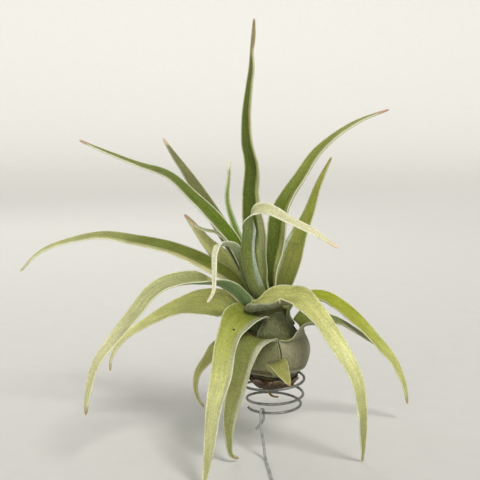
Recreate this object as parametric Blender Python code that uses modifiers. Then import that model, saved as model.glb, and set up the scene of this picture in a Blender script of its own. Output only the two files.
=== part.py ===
"""Air plant with long arching channelled leaves on a swollen bulb, held from below by a coil of wire.

Built in metres, +Z up, front toward -Y. Every leaf is one closed blade that starts as an arc round the
bulb or its throat and follows a line read off the front view. Lengths in the tables are millimetres.
"""
import math
from dataclasses import dataclass

import bmesh
import bpy
import numpy as np

NAME = "titan_tillandsia_streptophylla"
MM = 0.001

# The front view: the eye stands in front of the plant and a little above it.
VIEW_CENTRE = np.array((-24.0, 0.0, 129.2))
VIEW_RISE = math.radians(8.0)
VIEW_DISTANCE = 600.0
# Moves the middle of the whole plant over the origin of the frame.
FRAME_SHIFT = np.array((39.1, -2.0, 0.0))

# Blades
KEEL_THICKNESS = 1.25
RIM_SHARE = 0.62
TIP_WIDTH = 1.3
ROWS = 19
COLUMNS = 5
# The lowest part of a blade that stands on the surface is let down onto it.
SETTLE_HEIGHT = 30.0

# Bulb, from the flat underside up to the throat: radius and height.
BULB = (
    (6.0, 39.2),
    (9.4, 41.0),
    (13.2, 45.6),
    (16.9, 50.2),
    (19.0, 55.0),
    (19.9, 60.5),
    (19.4, 66.0),
    (17.6, 72.0),
    (14.8, 78.0),
    (12.0, 82.0),
    (10.4, 86.0),
    (10.0, 90.0),
)
BULB_TOP = 90.0
BULB_X = -3.6
THROAT_X = -8.0
LEAN_FROM = 62.0
LEAN_TO = 84.0
BULB_STEPS = 36
# Leaves of the heart stand in round grooves in the top of the bulb.
GROOVES = (2.6, 5.4, 8.2)
GROOVE_DEPTH = 4.0
GROOVE_WIDTH = 1.9
SEAT_GAP = 0.3
SHEATH_GAP = 0.4

# Dry husk round the foot of the bulb
HUSK_THICKNESS = 1.2
HUSK_TOP = 46.2
HUSK_GAP = 0.4

# Wire
WIRE_RADIUS = 0.8
COIL_X = -3.0
# turn angle in degrees, radius and height of the wire's centre line
COIL = (
    (190.0, 16.0, 26.2),
    (270.0, 16.0, 26.8),
    (360.0, 16.2, 28.2),
    (450.0, 16.5, 30.0),
    (540.0, 16.8, 31.4),
    (630.0, 17.2, 32.6),
    (720.0, 17.6, 34.4),
    (810.0, 17.9, 36.8),
    (900.0, 18.0, 39.4),
    (990.0, 18.1, 41.7),
    (1080.0, 18.2, 44.2),
    (1170.0, 18.2, 47.0),
    (1240.0, 18.0, 48.9),
)
COIL_STEP = 15.0
HOOK_AZIMUTH = 241.0
HOOK_BEND = 1.95

# Sheath over the upper front of the bulb: low and high edge, and its first and last azimuth up its height.
UPPER_SHEATH = (69.5, 87.2)
SHIELD = (
    (0.0, -117.0, -36.0),
    (0.2, -116.0, -36.0),
    (0.4, -110.0, -36.0),
    (0.6, -101.0, -36.5),
    (0.8, -88.0, -38.0),
    (0.93, -76.0, -41.0),
    (1.0, -66.0, -46.0),
)
UPPER_SHEATH_THICKNESS = 1.2
# It rises over the root of the long front leaf within this share of its height.
UPPER_SHEATH_RISE = (1.6, 0.34)
# One short root, from the foot of the husk
ROOT_LINE = ((-6.2, -3.0, 37.2), (-5.8, -3.4, 35.0), (-3.4, -3.0, 33.2), (-0.6, -2.0, 32.6))
ROOT_RADII = (0.9, 0.5)
# The hook wire: the foot of its long leg on the surface and its far end.
LEG_FOOT = (-9.0, -21.0)
LEG_END = (-5.0, -66.0)
TAIL_END = (-14.4, -12.0, 15.5)
FOOT_BEND = 6.0


@dataclass
class Leaf:
    """One leaf. root is ("ring", groove radius, azimuth, span), ("sheath", azimuth, low, high, span,
    inner and outer layer) or ("wrap", the way the inner face looks) for a blade that starts as a scoop
    beside the throat; line holds across, up, depth and rim-to-rim width along the blade; faces holds
    the share of the length and the way the inner face looks there; fold is the channel angle at middle
    and tip, and just past the root where that isn't the root's span."""

    name: str
    root: tuple
    line: tuple
    faces: tuple
    fold: tuple = (110.0, 60.0)
    rows: int = ROWS
    columns: int = COLUMNS
    stands: bool = False
    colour: str = "leaf"
    thickness: float = KEEL_THICKNESS


LEAVES = (
    Leaf(
        "leaf_spire",
        ("ring", 2.6, 30.0, 130.0),
        (
            (-9.8, 104.0, 7.0, 9.8),
            (-12.4, 116.0, 10.2, 13.4),
            (-13.3, 134.0, 12.0, 16.0),
            (-16.0, 156.2, 12.0, 12.2),
            (-15.8, 173.6, 12.0, 10.2),
            (-19.0, 189.2, 12.0, 8.2),
            (-19.5, 204.2, 12.0, 6.6),
            (-18.2, 219.8, 12.0, 5.2),
            (-16.7, 234.8, 12.0, 3.8),
            (-16.9, 242.0, 12.0, 2.3),
            (-16.1, 249.0, 12.0, 2.8),
            (-15.5, 262.4, 11.0, 1.3),
        ),
        ((0.14, (-0.4, -0.9, 0.0)), (0.32, (-0.55, -0.8, 0.0)), (1.0, (-0.6, -0.8, 0.0))),
        (120.0, 80.0),
        22,
    ),
    Leaf(
        "leaf_right_high",
        ("ring", 5.4, 8.0, 78.0),
        (
            (-3.2, 113.6, 7.6, 10.6),
            (-0.6, 128.0, 11.0, 13.6),
            (2.2, 146.0, 15.0, 13.6),
            (6.4, 155.2, 18.0, 12.2),
            (12.2, 164.2, 22.0, 10.8),
            (23.4, 181.4, 29.0, 8.8),
            (35.0, 192.2, 36.0, 6.4),
            (47.4, 200.1, 42.0, 4.8),
            (65.6, 207.6, 50.0, 1.3),
        ),
        ((0.2, (-0.55, -0.8, 0.2)), (0.4, (-0.65, -0.6, 0.4)), (1.0, (-0.5, -0.5, 0.8))),
        (140.0, 90.0),
        22,
    ),
    Leaf(
        "leaf_right_back",
        ("ring", 8.2, 66.0, 70.0),
        (
            (-2.2, 96.0, 11.0, 13.4),
            (1.2, 103.4, 15.0, 15.4),
            (5.4, 115.1, 20.0, 16.2),
            (10.2, 128.8, 27.0, 12.2),
            (16.2, 142.6, 34.0, 8.0),
            (24.0, 164.6, 43.0, 4.2),
            (30.9, 179.0, 50.0, 1.3),
        ),
        ((0.3, (-0.35, -0.9, 0.2)), (1.0, (-0.4, -0.9, 0.1))),
        (70.0, 50.0),
    ),
    Leaf(
        "leaf_front_arch",
        ("ring", 5.4, -98.0, 60.0),
        (
            (-14.0, 100.0, -9.0, 8.6),
            (-17.3, 109.0, -11.0, 8.4),
            (-19.3, 120.2, -13.0, 8.2),
            (-18.6, 134.0, -16.0, 7.8),
            (-17.6, 141.6, -18.0, 7.8),
            (-14.2, 146.6, -20.5, 7.8),
            (-9.0, 147.6, -24.0, 7.4),
            (-3.0, 145.4, -27.4, 6.8),
            (3.6, 141.8, -31.0, 5.8),
            (17.4, 135.2, -38.0, 4.6),
            (35.1, 124.4, -46.0, 1.5),
        ),
        (
            (0.3, (0.1, 1.0, 0.1)),
            (0.43, (0.1, 0.95, 0.3)),
            (0.5, (-0.45, 0.0, 0.9)),
            (0.56, (-0.1, -0.8, 0.6)),
            (0.7, (0.1, -0.78, 0.62)),
            (1.0, (0.2, -0.8, 0.6)),
        ),
        (110.0, 70.0),
        24,
        5,
        False,
        "leaf_pale",
    ),
    Leaf(
        "leaf_centre_thin",
        ("ring", 2.6, 172.0, 90.0),
        (
            (-12.6, 100.0, 3.8, 3.0),
            (-14.8, 106.0, 5.4, 3.2),
            (-18.6, 115.0, 7.4, 3.6),
            (-23.4, 127.4, 9.0, 4.6),
            (-28.2, 139.2, 10.0, 4.8),
            (-32.0, 153.0, 9.0, 3.6),
            (-30.9, 166.8, 9.0, 2.4),
            (-30.2, 177.8, 9.0, 1.3),
        ),
        ((0.3, (0.7, -0.7, 0.1)), (1.0, (0.6, -0.8, 0.0))),
        (120.0, 90.0),
        16,
    ),
    Leaf(
        "leaf_left_high",
        ("ring", 5.4, -172.0, 64.0),
        (
            (-17.6, 109.0, -1.0, 7.8),
            (-24.4, 121.6, 0.4, 9.4),
            (-38.4, 139.7, 0.0, 10.5),
            (-53.7, 155.0, -3.0, 9.4),
            (-67.0, 167.3, -6.0, 7.4),
            (-86.1, 174.5, -9.0, 4.9),
            (-109.0, 183.8, -11.0, 3.0),
            (-120.6, 189.2, -11.0, 1.3),
        ),
        ((0.3, (0.5, -0.65, 0.6)), (1.0, (0.3, -0.5, 0.8))),
        (110.0, 70.0),
        20,
    ),
    Leaf(
        "leaf_left_back",
        ("ring", 8.2, 128.0, 46.0),
        (
            (-21.0, 110.0, 14.0, 10.0),
            (-27.0, 122.0, 20.0, 11.0),
            (-41.4, 145.4, 26.0, 10.8),
            (-54.0, 165.8, 40.0, 7.6),
            (-66.0, 183.5, 54.0, 3.4),
            (-70.2, 190.4, 60.0, 1.3),
        ),
        ((0.3, (0.5, -0.8, 0.3)), (1.0, (0.4, -0.8, 0.4))),
        (80.0, 50.0),
    ),
    Leaf(
        "leaf_left_short",
        ("sheath", 113.0, 81.0, 86.5, 36.0, 0.0, 0.0),
        (
            (-25.0, 104.2, 17.4, 9.0),
            (-31.2, 113.4, 22.4, 12.4),
            (-45.6, 129.2, 30.0, 7.8),
            (-54.0, 140.6, 36.0, 3.6),
            (-57.4, 144.8, 40.0, 1.3),
        ),
        ((0.3, (0.4, -0.8, 0.4)), (1.0, (0.4, -0.8, 0.4))),
        (80.0, 50.0),
        15,
    ),
    Leaf(
        "leaf_left_thin",
        ("ring", 8.2, 165.0, 20.0),
        (
            (-19.2, 104.0, 4.6, 3.4),
            (-23.8, 115.0, 7.4, 3.6),
            (-28.8, 124.5, 9.0, 3.6),
            (-33.5, 130.6, 9.8, 3.4),
            (-38.6, 133.8, 10.5, 2.8),
            (-45.6, 135.4, 13.0, 2.4),
            (-54.7, 140.0, 17.0, 1.3),
        ),
        ((0.4, (0.1, -0.5, 0.9)), (1.0, (0.1, -0.5, 0.9))),
        (70.0, 50.0),
        15,
    ),
    Leaf(
        "leaf_left_long",
        ("sheath", 153.0, 80.0, 86.0, 38.0, 0.0, 0.0),
        (
            (-24.0, 99.0, 6.4, 10.0),
            (-30.0, 106.0, 9.6, 12.0),
            (-40.8, 112.4, 13.0, 12.4),
            (-63.3, 122.8, 20.0, 10.6),
            (-90.0, 129.2, 28.0, 8.4),
            (-103.8, 131.6, 31.0, 7.2),
            (-123.0, 129.5, 35.0, 5.0),
            (-145.2, 121.1, 39.0, 3.0),
            (-156.0, 110.3, 41.0, 1.3),
        ),
        ((0.25, (0.1, -0.65, 0.75)), (1.0, (-0.1, -0.6, 0.8))),
        (80.0, 50.0),
        20,
        7,
    ),
    Leaf(
        "leaf_left_front",
        ("sheath", -140.0, 86.6, 89.8, 44.0, 0.0, 0.0),
        (
            (-20.0, 90.4, -9.6, 11.6),
            (-24.6, 95.0, -12.4, 10.8),
            (-29.4, 99.0, -16.0, 11.2),
            (-36.2, 102.0, -20.4, 13.4),
            (-45.0, 103.4, -24.6, 15.2),
            (-56.4, 104.2, -29.0, 13.2),
            (-67.2, 102.4, -33.5, 11.6),
            (-75.0, 98.2, -37.5, 10.8),
            (-85.8, 86.0, -44.0, 9.6),
            (-98.1, 71.0, -50.0, 8.0),
            (-110.1, 54.5, -54.0, 5.8),
            (-115.5, 34.7, -54.0, 3.8),
            (-116.7, 23.9, -52.0, 1.5),
        ),
        (
            (0.08, (0.5, 0.8, 0.2)),
            (0.14, (0.4, 0.85, 0.4)),
            (0.21, (0.3, 0.35, 0.9)),
            (0.3, (0.0, -0.35, 0.95)),
            (0.45, (-0.2, -0.6, 0.8)),
            (1.0, (-0.5, -0.85, 0.1)),
        ),
        (110.0, 60.0, 90.0),
        24,
        7,
    ),
    Leaf(
        "leaf_left_low",
        ("sheath", 168.0, 69.5, 76.5, 48.0, 0.0, 0.0),
        (
            (-31.0, 89.0, 5.6, 18.0),
            (-37.8, 90.8, 9.0, 18.8),
            (-48.6, 91.0, 13.4, 17.4),
            (-58.8, 89.0, 18.5, 13.8),
            (-78.0, 80.5, 27.0, 8.0),
            (-94.8, 68.6, 35.0, 4.6),
            (-101.4, 57.2, 40.0, 2.2),
            (-101.9, 50.6, 42.0, 1.4),
        ),
        ((0.18, (-0.1, -0.85, 0.55)), (0.4, (0.0, -0.7, 0.7)), (1.0, (-0.5, -0.7, 0.5))),
        (75.0, 50.0),
        ROWS,
        7,
    ),
    Leaf(
        "leaf_front_long",
        ("sheath", -129.0, 75.4, 84.6, 68.0, 0.0, 0.0),
        (
            (-18.4, 83.4, -18.8, 24.6),
            (-23.6, 80.4, -25.6, 22.6),
            (-29.0, 73.0, -32.4, 15.4),
            (-33.0, 62.0, -41.5, 12.8),
            (-35.4, 47.6, -50.0, 12.0),
            (-40.2, 26.6, -59.0, 8.8),
            (-42.7, 3.2, -66.0, 6.0),
            (-46.2, -21.4, -70.0, 1.6),
        ),
        (
            (0.17, (-0.2, -0.55, 0.82)),
            (0.3, (-0.3, -0.85, 0.5)),
            (0.5, (0.0, -1.0, 0.2)),
            (1.0, (0.0, -1.0, 0.1)),
        ),
        (90.0, 50.0, 60.0),
        24,
        9,
        True,
    ),
    Leaf(
        "leaf_front_hang",
        ("sheath", -118.0, 54.0, 70.0, 75.0, 0.0, 1.8),
        (
            (-15.5, 70.4, -25.5, 25.0),
            (-18.6, 66.5, -31.0, 18.0),
            (-21.6, 57.2, -33.0, 12.0),
            (-24.9, 45.2, -34.0, 10.8),
            (-29.7, 26.6, -33.0, 9.0),
            (-30.7, 10.4, -30.5, 5.0),
            (-28.5, -0.4, -28.0, 2.4),
            (-24.6, -2.0, -26.0, 1.3),
        ),
        ((0.3, (-0.1, -0.8, 0.7)), (0.5, (0.1, -1.0, 0.2)), (1.0, (0.1, -1.0, 0.1))),
        (90.0, 50.0),
        24,
        9,
    ),
    Leaf(
        "leaf_small_tip",
        ("sheath", -81.0, 50.0, 53.4, 24.0, 0.0, 3.0),
        (
            (-2.6, 55.2, -26.2, 11.0),
            (-1.0, 54.2, -28.4, 11.0),
            (2.4, 48.8, -30.2, 7.2),
            (6.2, 41.4, -29.6, 1.3),
        ),
        ((0.8, (0.1, -1.0, 0.4)), (1.0, (0.1, -1.0, 0.3))),
        (60.0, 30.0),
        14,
        thickness=0.9,
    ),
    Leaf(
        "leaf_right_front",
        ("wrap", (0.0, -0.05, 1.0)),
        (
            (-21.2, 87.8, -16.8, 2.4),
            (-18.8, 86.6, -17.2, 6.0),
            (-14.0, 86.7, -17.6, 7.0),
            (-9.2, 87.9, -16.6, 9.0),
            (-4.6, 89.6, -15.0, 13.0),
            (0.6, 91.0, -14.0, 16.6),
            (5.8, 91.9, -15.6, 17.0),
            (12.4, 92.4, -19.6, 15.0),
            (17.2, 88.6, -24.0, 13.6),
            (22.6, 82.6, -28.6, 12.6),
            (28.8, 74.0, -33.0, 12.0),
            (34.8, 65.0, -36.5, 11.2),
            (40.5, 56.0, -39.0, 9.8),
            (45.0, 47.0, -40.0, 8.6),
            (48.9, 29.0, -38.5, 6.4),
            (49.7, 9.2, -32.0, 4.2),
            (49.5, -3.7, -25.0, 1.5),
        ),
        (
            (0.0, (0.0, -0.05, 1.0)),
            (0.06, (0.0, -0.12, 1.0)),
            (0.1, (0.0, -0.38, 0.93)),
            (0.19, (0.0, -0.3, 0.95)),
            (0.26, (-0.1, -0.75, 0.66)),
            (0.36, (0.35, -0.75, 0.6)),
            (1.0, (0.2, -1.0, 0.1)),
        ),
        (96.0, 50.0, 262.0),
        26,
        9,
        True,
    ),
    Leaf(
        "leaf_right_droop",
        ("sheath", 8.0, 77.5, 84.5, 80.0, 0.0, 2.0),
        (
            (6.8, 89.6, 4.6, 16.0),
            (12.6, 93.4, 10.6, 14.4),
            (25.2, 94.1, 18.5, 12.0),
            (40.2, 85.4, 25.0, 11.6),
            (55.2, 71.0, 33.0, 9.2),
            (68.4, 55.4, 40.0, 6.8),
            (75.0, 39.8, 45.0, 3.6),
            (76.6, 30.8, 48.0, 1.3),
        ),
        ((0.3, (0.1, -0.65, 0.75)), (1.0, (0.4, -0.8, 0.4))),
        (80.0, 50.0),
        ROWS,
        7,
    ),
    Leaf(
        "leaf_right_low",
        ("sheath", -29.5, 52.5, 71.0, 99.0, 0.0, 1.7),
        (
            (13.2, 77.4, -12.4, 19.6),
            (18.3, 79.9, -9.7, 21.0),
            (23.8, 81.2, -4.6, 17.0),
            (29.2, 81.4, 3.6, 12.4),
            (34.5, 80.2, 13.0, 9.2),
            (42.0, 76.4, 26.0, 7.4),
            (57.0, 66.8, 46.0, 1.3),
        ),
        ((0.34, (-0.15, -0.64, 0.76)), (0.5, (0.0, -0.65, 0.75)), (1.0, (0.1, -0.7, 0.7))),
        (52.0, 50.0),
        20,
        9,
    ),
    Leaf(
        "leaf_left_small",
        ("sheath", 176.0, 56.0, 66.0, 40.0, 0.0, 0.0),
        (
            (-33.0, 68.0, 3.0, 11.0),
            (-38.4, 63.4, 4.0, 9.8),
            (-43.8, 56.6, 6.0, 7.0),
            (-48.6, 50.6, 8.0, 5.2),
            (-50.4, 39.2, 9.0, 3.0),
            (-48.6, 33.2, 9.0, 2.0),
            (-45.6, 28.7, 8.0, 1.3),
        ),
        ((0.4, (-0.5, -0.75, 0.5)), (1.0, (-0.4, -0.9, 0.1))),
        (80.0, 50.0),
        16,
    ),
    Leaf(
        "leaf_hook_tip",
        ("ring", 8.2, -161.0, 38.0),
        (
            (-18.4, 100.0, -4.0, 5.0),
            (-21.6, 108.0, -5.6, 5.2),
            (-23.0, 115.6, -6.2, 5.2),
            (-25.2, 121.4, -8.0, 6.0),
            (-29.0, 125.4, -12.0, 7.0),
            (-33.6, 126.2, -19.0, 7.0),
            (-36.8, 125.4, -26.0, 6.0),
            (-38.6, 121.0, -31.0, 4.8),
            (-39.2, 107.6, -36.5, 3.4),
            (-40.2, 97.4, -39.0, 2.2),
            (-43.8, 91.4, -40.0, 1.3),
        ),
        (
            (0.3, (0.4, 0.9, 0.2)),
            (0.48, (0.15, 0.6, 0.8)),
            (0.62, (-0.5, 0.0, 0.85)),
            (0.72, (-0.8, -0.6, 0.2)),
            (1.0, (-0.6, -0.8, 0.1)),
        ),
        (110.0, 60.0),
        22,
        5,
        False,
        "leaf_pale",
    ),
    Leaf(
        "leaf_back_prop",
        ("sheath", 128.0, 57.0, 66.0, 46.0, 0.0, 0.0),
        (
            (-24.0, 66.0, 31.0, 9.0),
            (-27.0, 56.0, 40.0, 8.0),
            (-28.2, 43.0, 48.0, 6.4),
            (-29.6, 31.0, 54.0, 4.0),
            (-30.6, 22.0, 60.0, 1.5),
        ),
        ((0.4, (-0.3, 0.8, 0.5)), (1.0, (-0.3, 1.0, 0.2))),
        (70.0, 50.0),
        16,
        5,
        True,
    ),
    Leaf(
        "leaf_back_droop",
        ("sheath", 84.0, 68.0, 76.5, 54.0, 0.0, 0.0),
        (
            (-4.4, 86.0, 18.6, 12.0),
            (-3.0, 90.0, 24.5, 12.0),
            (-2.2, 92.0, 33.0, 11.4),
            (-2.4, 89.0, 46.0, 10.0),
            (-3.4, 81.0, 59.0, 7.6),
            (-4.0, 71.0, 68.0, 5.0),
            (-5.0, 60.0, 74.0, 1.3),
        ),
        ((0.6, (0.0, 0.3, 1.0)), (1.0, (0.0, 0.5, 0.9))),
        (80.0, 50.0),
        16,
        7,
    ),
)


MATERIALS = {
    "leaf": ((0.33, 0.42, 0.14, 1.0), 0.6, 0.0),
    "leaf_pale": ((0.55, 0.58, 0.35, 1.0), 0.6, 0.0),
    "bulb": ((0.24, 0.27, 0.15, 1.0), 0.65, 0.0),
    "husk": ((0.13, 0.08, 0.04, 1.0), 0.85, 0.0),
    "wire_dull": ((0.25, 0.26, 0.26, 1.0), 0.45, 1.0),
    "wire_bright": ((0.6, 0.61, 0.62, 1.0), 0.3, 1.0),
}


def unit(vector):
    return vector / np.linalg.norm(vector)


def front(across, up, depth):
    """The point at this depth that the front view shows at this place of the picture plane."""
    rise = up - VIEW_CENTRE[2]
    flat = np.array((across, rise * math.sin(VIEW_RISE), VIEW_CENTRE[2] + rise * math.cos(VIEW_RISE)))
    back = VIEW_DISTANCE * np.array((0.0, -math.cos(VIEW_RISE), math.sin(VIEW_RISE)))
    eye = VIEW_CENTRE + back
    share = (depth - flat[1]) / (eye[1] - flat[1])
    return flat + (eye - flat) * share


def smooth(share):
    share = min(1.0, max(0.0, share))
    return share * share * (3.0 - 2.0 * share)


def axis_x(height):
    """The bulb leans to the left above its widest part."""
    return BULB_X + (THROAT_X - BULB_X) * smooth((height - LEAN_FROM) / (LEAN_TO - LEAN_FROM))


def through(points, count, axes):
    """A smooth line through unevenly spaced points, count places between each two of them. axes is how
    many of the numbers of a point are its place."""
    points = [np.array(p, dtype=float) for p in points]
    gaps = [float(np.linalg.norm((b - a)[:axes])) for a, b in zip(points, points[1:])]
    slopes = [(points[1] - points[0]) / gaps[0]]
    for i in range(1, len(points) - 1):
        before = (points[i] - points[i - 1]) / gaps[i - 1]
        after = (points[i + 1] - points[i]) / gaps[i]
        slopes.append((before * gaps[i] + after * gaps[i - 1]) / (gaps[i] + gaps[i - 1]))
    slopes.append((points[-1] - points[-2]) / gaps[-1])
    line = []
    for i, gap in enumerate(gaps):
        for k in range(count):
            t = k / count
            start = (1 + 2 * t) * (1 - t) ** 2 * points[i] + t * (1 - t) ** 2 * gap * slopes[i]
            end = t * t * (3 - 2 * t) * points[i + 1] + t * t * (t - 1) * gap * slopes[i + 1]
            line.append(start + end)
    line.append(points[-1])
    return np.array(line)


BULB_LINE = through(BULB, 8, 2)


def bulb_radius(height):
    return float(np.interp(height, BULB_LINE[:, 1], BULB_LINE[:, 0]))


def skin(height, lift):
    """Radius and height of the point that stands off the bulb's surface by lift, square to it."""
    slope = (bulb_radius(height + 0.5) - bulb_radius(height - 0.5)) / 1.0
    across = 1.0 / math.hypot(1.0, slope)
    return bulb_radius(height) + lift * across, height - lift * slope * across


def around(radius, azimuth, height):
    turn = math.radians(azimuth)
    return np.array((axis_x(height) + radius * math.cos(turn), radius * math.sin(turn), height))


def root_radius(leaf, share):
    """Radius and height of the middle surface of a leaf's root, share 0 at its foot and 1 where it opens."""
    if leaf.root[0] == "ring":
        low = BULB_TOP - GROOVE_DEPTH + SEAT_GAP
        return leaf.root[1], low + share * (BULB_TOP + 1.0 - low)
    low, high, inner, outer = leaf.root[2], leaf.root[3], leaf.root[5], leaf.root[6]
    lift = SHEATH_GAP + 0.5 * leaf.thickness + inner + (outer - inner) * share
    return skin(low + share * (high - low), lift)


def upper_lift(share):
    """How far the middle of the upper sheath stands off the bulb at this share of its height."""
    return SHEATH_GAP + UPPER_SHEATH_THICKNESS / 2.0 + UPPER_SHEATH_RISE[0] * smooth(share / UPPER_SHEATH_RISE[1])


def root_azimuth(leaf):
    return leaf.root[2] if leaf.root[0] == "ring" else leaf.root[1]


def root_span(leaf):
    return leaf.root[3] if leaf.root[0] == "ring" else leaf.root[4]


def blade_rows(leaf, rows, marks):
    """The middle surface of a blade, as rows of points from the root to the tip. marks holds the places of
    the points of a row, from -1 at one rim to 1 at the other."""
    rooted = leaf.root[0] != "wrap"
    azimuth = root_azimuth(leaf) if rooted else 0.0
    span = root_span(leaf) if rooted else 20.0
    knots = []
    if rooted:
        for share in (0.0, 0.5, 1.0):
            radius, height = root_radius(leaf, share)
            chord = 2.0 * radius * math.sin(math.radians(span) / 2.0)
            knots.append((*around(radius, azimuth, height), chord, share))
    for across, up, depth, width in leaf.line:
        knots.append((*front(across, up, depth), width, 2.0))
    fine = through([k[:4] for k in knots], 40, 3)
    place = fine[:, :3]
    steps = np.linalg.norm(np.diff(place, axis=0), axis=1)
    length = np.concatenate(([0.0], np.cumsum(steps)))
    along = np.gradient(place, axis=0)
    along /= np.linalg.norm(along, axis=1)[:, None]
    turns = np.arccos(np.clip(np.sum(along[1:] * along[:-1], axis=1), -1.0, 1.0))
    effort = np.concatenate(([0.0], np.cumsum(steps + 9.0 * turns)))
    places = np.interp(np.linspace(0.0, effort[-1], rows), effort, length)
    root_length = length[80] if rooted else 0.0
    toward = -np.array((math.cos(math.radians(azimuth)), math.sin(math.radians(azimuth)), 0.0))
    if not rooted:
        toward = np.array(leaf.root[1])
    carried = [unit(toward - along[0] * np.dot(toward, along[0]))]
    for before, after in zip(along, along[1:]):
        kept = carried[-1] - after * np.dot(carried[-1], after)
        carried.append(unit(kept))
    carried = np.array(carried)
    twists = [(root_length, 0.0)]
    for share, look in leaf.faces:
        i = int(np.searchsorted(length, share * length[-1] - 1e-9))
        across_it = np.dot(look, np.cross(along[i], carried[i]))
        turn = math.atan2(across_it, np.dot(look, carried[i]))
        turn += 2.0 * math.pi * round((twists[-1][1] - turn) / 2.0 / math.pi)
        twists.append((length[i], turn))
    result = []
    for s in places:
        centre = np.array([np.interp(s, length, place[:, k]) for k in range(3)])
        tangent = unit(np.array([np.interp(s, length, along[:, k]) for k in range(3)]))
        width = float(np.interp(s, length, fine[:, 3]))
        base = np.array([np.interp(s, length, carried[:, k]) for k in range(3)])
        base = unit(base - tangent * np.dot(base, tangent))
        twist = float(np.interp(s, [t[0] for t in twists], [t[1] for t in twists]))
        face = base * math.cos(twist) + np.cross(tangent, base) * math.sin(twist)
        side = np.cross(tangent, face)
        beyond = max(0.0, (s - root_length) / (length[-1] - root_length))
        first = leaf.fold[2] if len(leaf.fold) > 2 else max(span, 20.0)
        angle = float(np.interp(beyond, (0.0, 0.3, 1.0), (first, leaf.fold[0], leaf.fold[1])))
        half = math.radians(angle) / 2.0
        radius = max(width, TIP_WIDTH) / 2.0 / math.sin(half)
        # The root lies round the axis; past it the blade takes its own channel over one width.
        hold = 1.0 - smooth((s - root_length) / 6.0) if rooted else 0.0
        row = []
        for u in marks:
            free = centre + side * radius * math.sin(u * half) + face * radius * (1.0 - math.cos(u * half))
            if hold > 0.0:
                opened = min(1.0, s / root_length)
                ring, height = root_radius(leaf, opened)
                bound = around(ring, azimuth - u * span / 2.0, height)
                if s > root_length:
                    bound = bound + centre - around(ring, azimuth, height)
                free = bound * hold + free * (1.0 - hold)
            row.append(free)
        result.append(row)
    return np.array(result)


def mesh_object(name, points, faces, material, collection):
    mesh = bpy.data.meshes.new(name)
    mesh.from_pydata([tuple((np.array(p) + FRAME_SHIFT) * MM) for p in points], [], faces)
    mesh.update()
    made = bpy.data.objects.new(name, mesh)
    collection.objects.link(made)
    made.data.materials.append(material)
    return made


def finish(made):
    """Applies the object's modifiers, turns every face outward and shades it smooth."""
    graph = bpy.context.evaluated_depsgraph_get()
    graph.update()
    mesh = bpy.data.meshes.new_from_object(made.evaluated_get(graph))
    if made.type == "CURVE":
        collection = made.users_collection[0]
        name = made.name
        material = made.data.materials[0]
        bpy.data.objects.remove(made)
        made = bpy.data.objects.new(name, mesh)
        collection.objects.link(made)
        if not made.data.materials:
            made.data.materials.append(material)
    else:
        made.modifiers.clear()
        made.vertex_groups.clear()
        made.data = mesh
    shape = bmesh.new()
    shape.from_mesh(mesh)
    bmesh.ops.remove_doubles(shape, verts=shape.verts, dist=1e-6)
    bmesh.ops.triangulate(shape, faces=[f for f in shape.faces if len(f.verts) > 4])
    bmesh.ops.recalc_face_normals(shape, faces=shape.faces)
    shape.to_mesh(mesh)
    shape.free()
    mesh.shade_smooth()
    mesh.set_sharp_from_angle(angle=math.radians(50.0))
    return made


def sheet(name, rows, material, collection, thickness, rim_share):
    """A grid of points made into a closed blade, thick along its keel and thinner at its rims."""
    count, columns = rows.shape[:2]
    points = rows.reshape(-1, 3)
    faces = []
    for i in range(count - 1):
        for k in range(columns - 1):
            a = i * columns + k
            b = a + columns
            if k < columns // 2:
                faces.append((a, a + 1, b + 1))
                faces.append((a, b + 1, b))
            else:
                faces.append((a, a + 1, b))
                faces.append((a + 1, b + 1, b))
    made = mesh_object(name, points, faces, material, collection)
    group = made.vertex_groups.new(name="keel")
    for i in range(count):
        for k in range(columns):
            u = abs(2.0 * k / (columns - 1) - 1.0)
            group.add([i * columns + k], 1.0 - u * u, "REPLACE")
    solid = made.modifiers.new("thickness", "SOLIDIFY")
    solid.thickness = thickness * MM
    solid.offset = 0.0
    solid.vertex_group = "keel"
    solid.thickness_vertex_group = rim_share
    return finish(made)


def settle(made):
    """Lets the lowest part of a blade down until its lowest point is on the surface."""
    lowest = min(v.co.z for v in made.data.vertices)
    for vertex in made.data.vertices:
        vertex.co.z -= lowest * smooth(1.0 - (vertex.co.z - lowest) / MM / SETTLE_HEIGHT)


def spun(name, profile, material, collection):
    """A profile of radius and height turned round the bulb's axis; it starts and ends on the axis."""
    mesh = bpy.data.meshes.new(name)
    points = [(r * MM, 0.0, z * MM) for r, z in profile]
    mesh.from_pydata(points, [(i, i + 1) for i in range(len(points) - 1)], [])
    made = bpy.data.objects.new(name, mesh)
    collection.objects.link(made)
    made.data.materials.append(material)
    turn = made.modifiers.new("turn", "SCREW")
    turn.steps = BULB_STEPS
    turn.render_steps = BULB_STEPS
    turn.use_merge_vertices = True
    turn.merge_threshold = 0.00005
    made = finish(made)
    for vertex in made.data.vertices:
        vertex.co.x += (axis_x(vertex.co.z / MM) + FRAME_SHIFT[0]) * MM
        vertex.co.y += FRAME_SHIFT[1] * MM
    return made


def wire(name, points, radii, material, collection, resolution):
    """A round wire along a line of points, capped at both ends."""
    curve = bpy.data.curves.new(name, "CURVE")
    curve.dimensions = "3D"
    curve.bevel_depth = MM
    curve.bevel_resolution = resolution
    curve.use_fill_caps = True
    line = curve.splines.new("POLY")
    line.points.add(len(points) - 1)
    for knot, place, radius in zip(line.points, points, radii):
        knot.co = (*((np.array(place) + FRAME_SHIFT) * MM), 1.0)
        knot.radius = radius
    made = bpy.data.objects.new(name, curve)
    collection.objects.link(made)
    made.data.materials.append(material)
    return finish(made)


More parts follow.
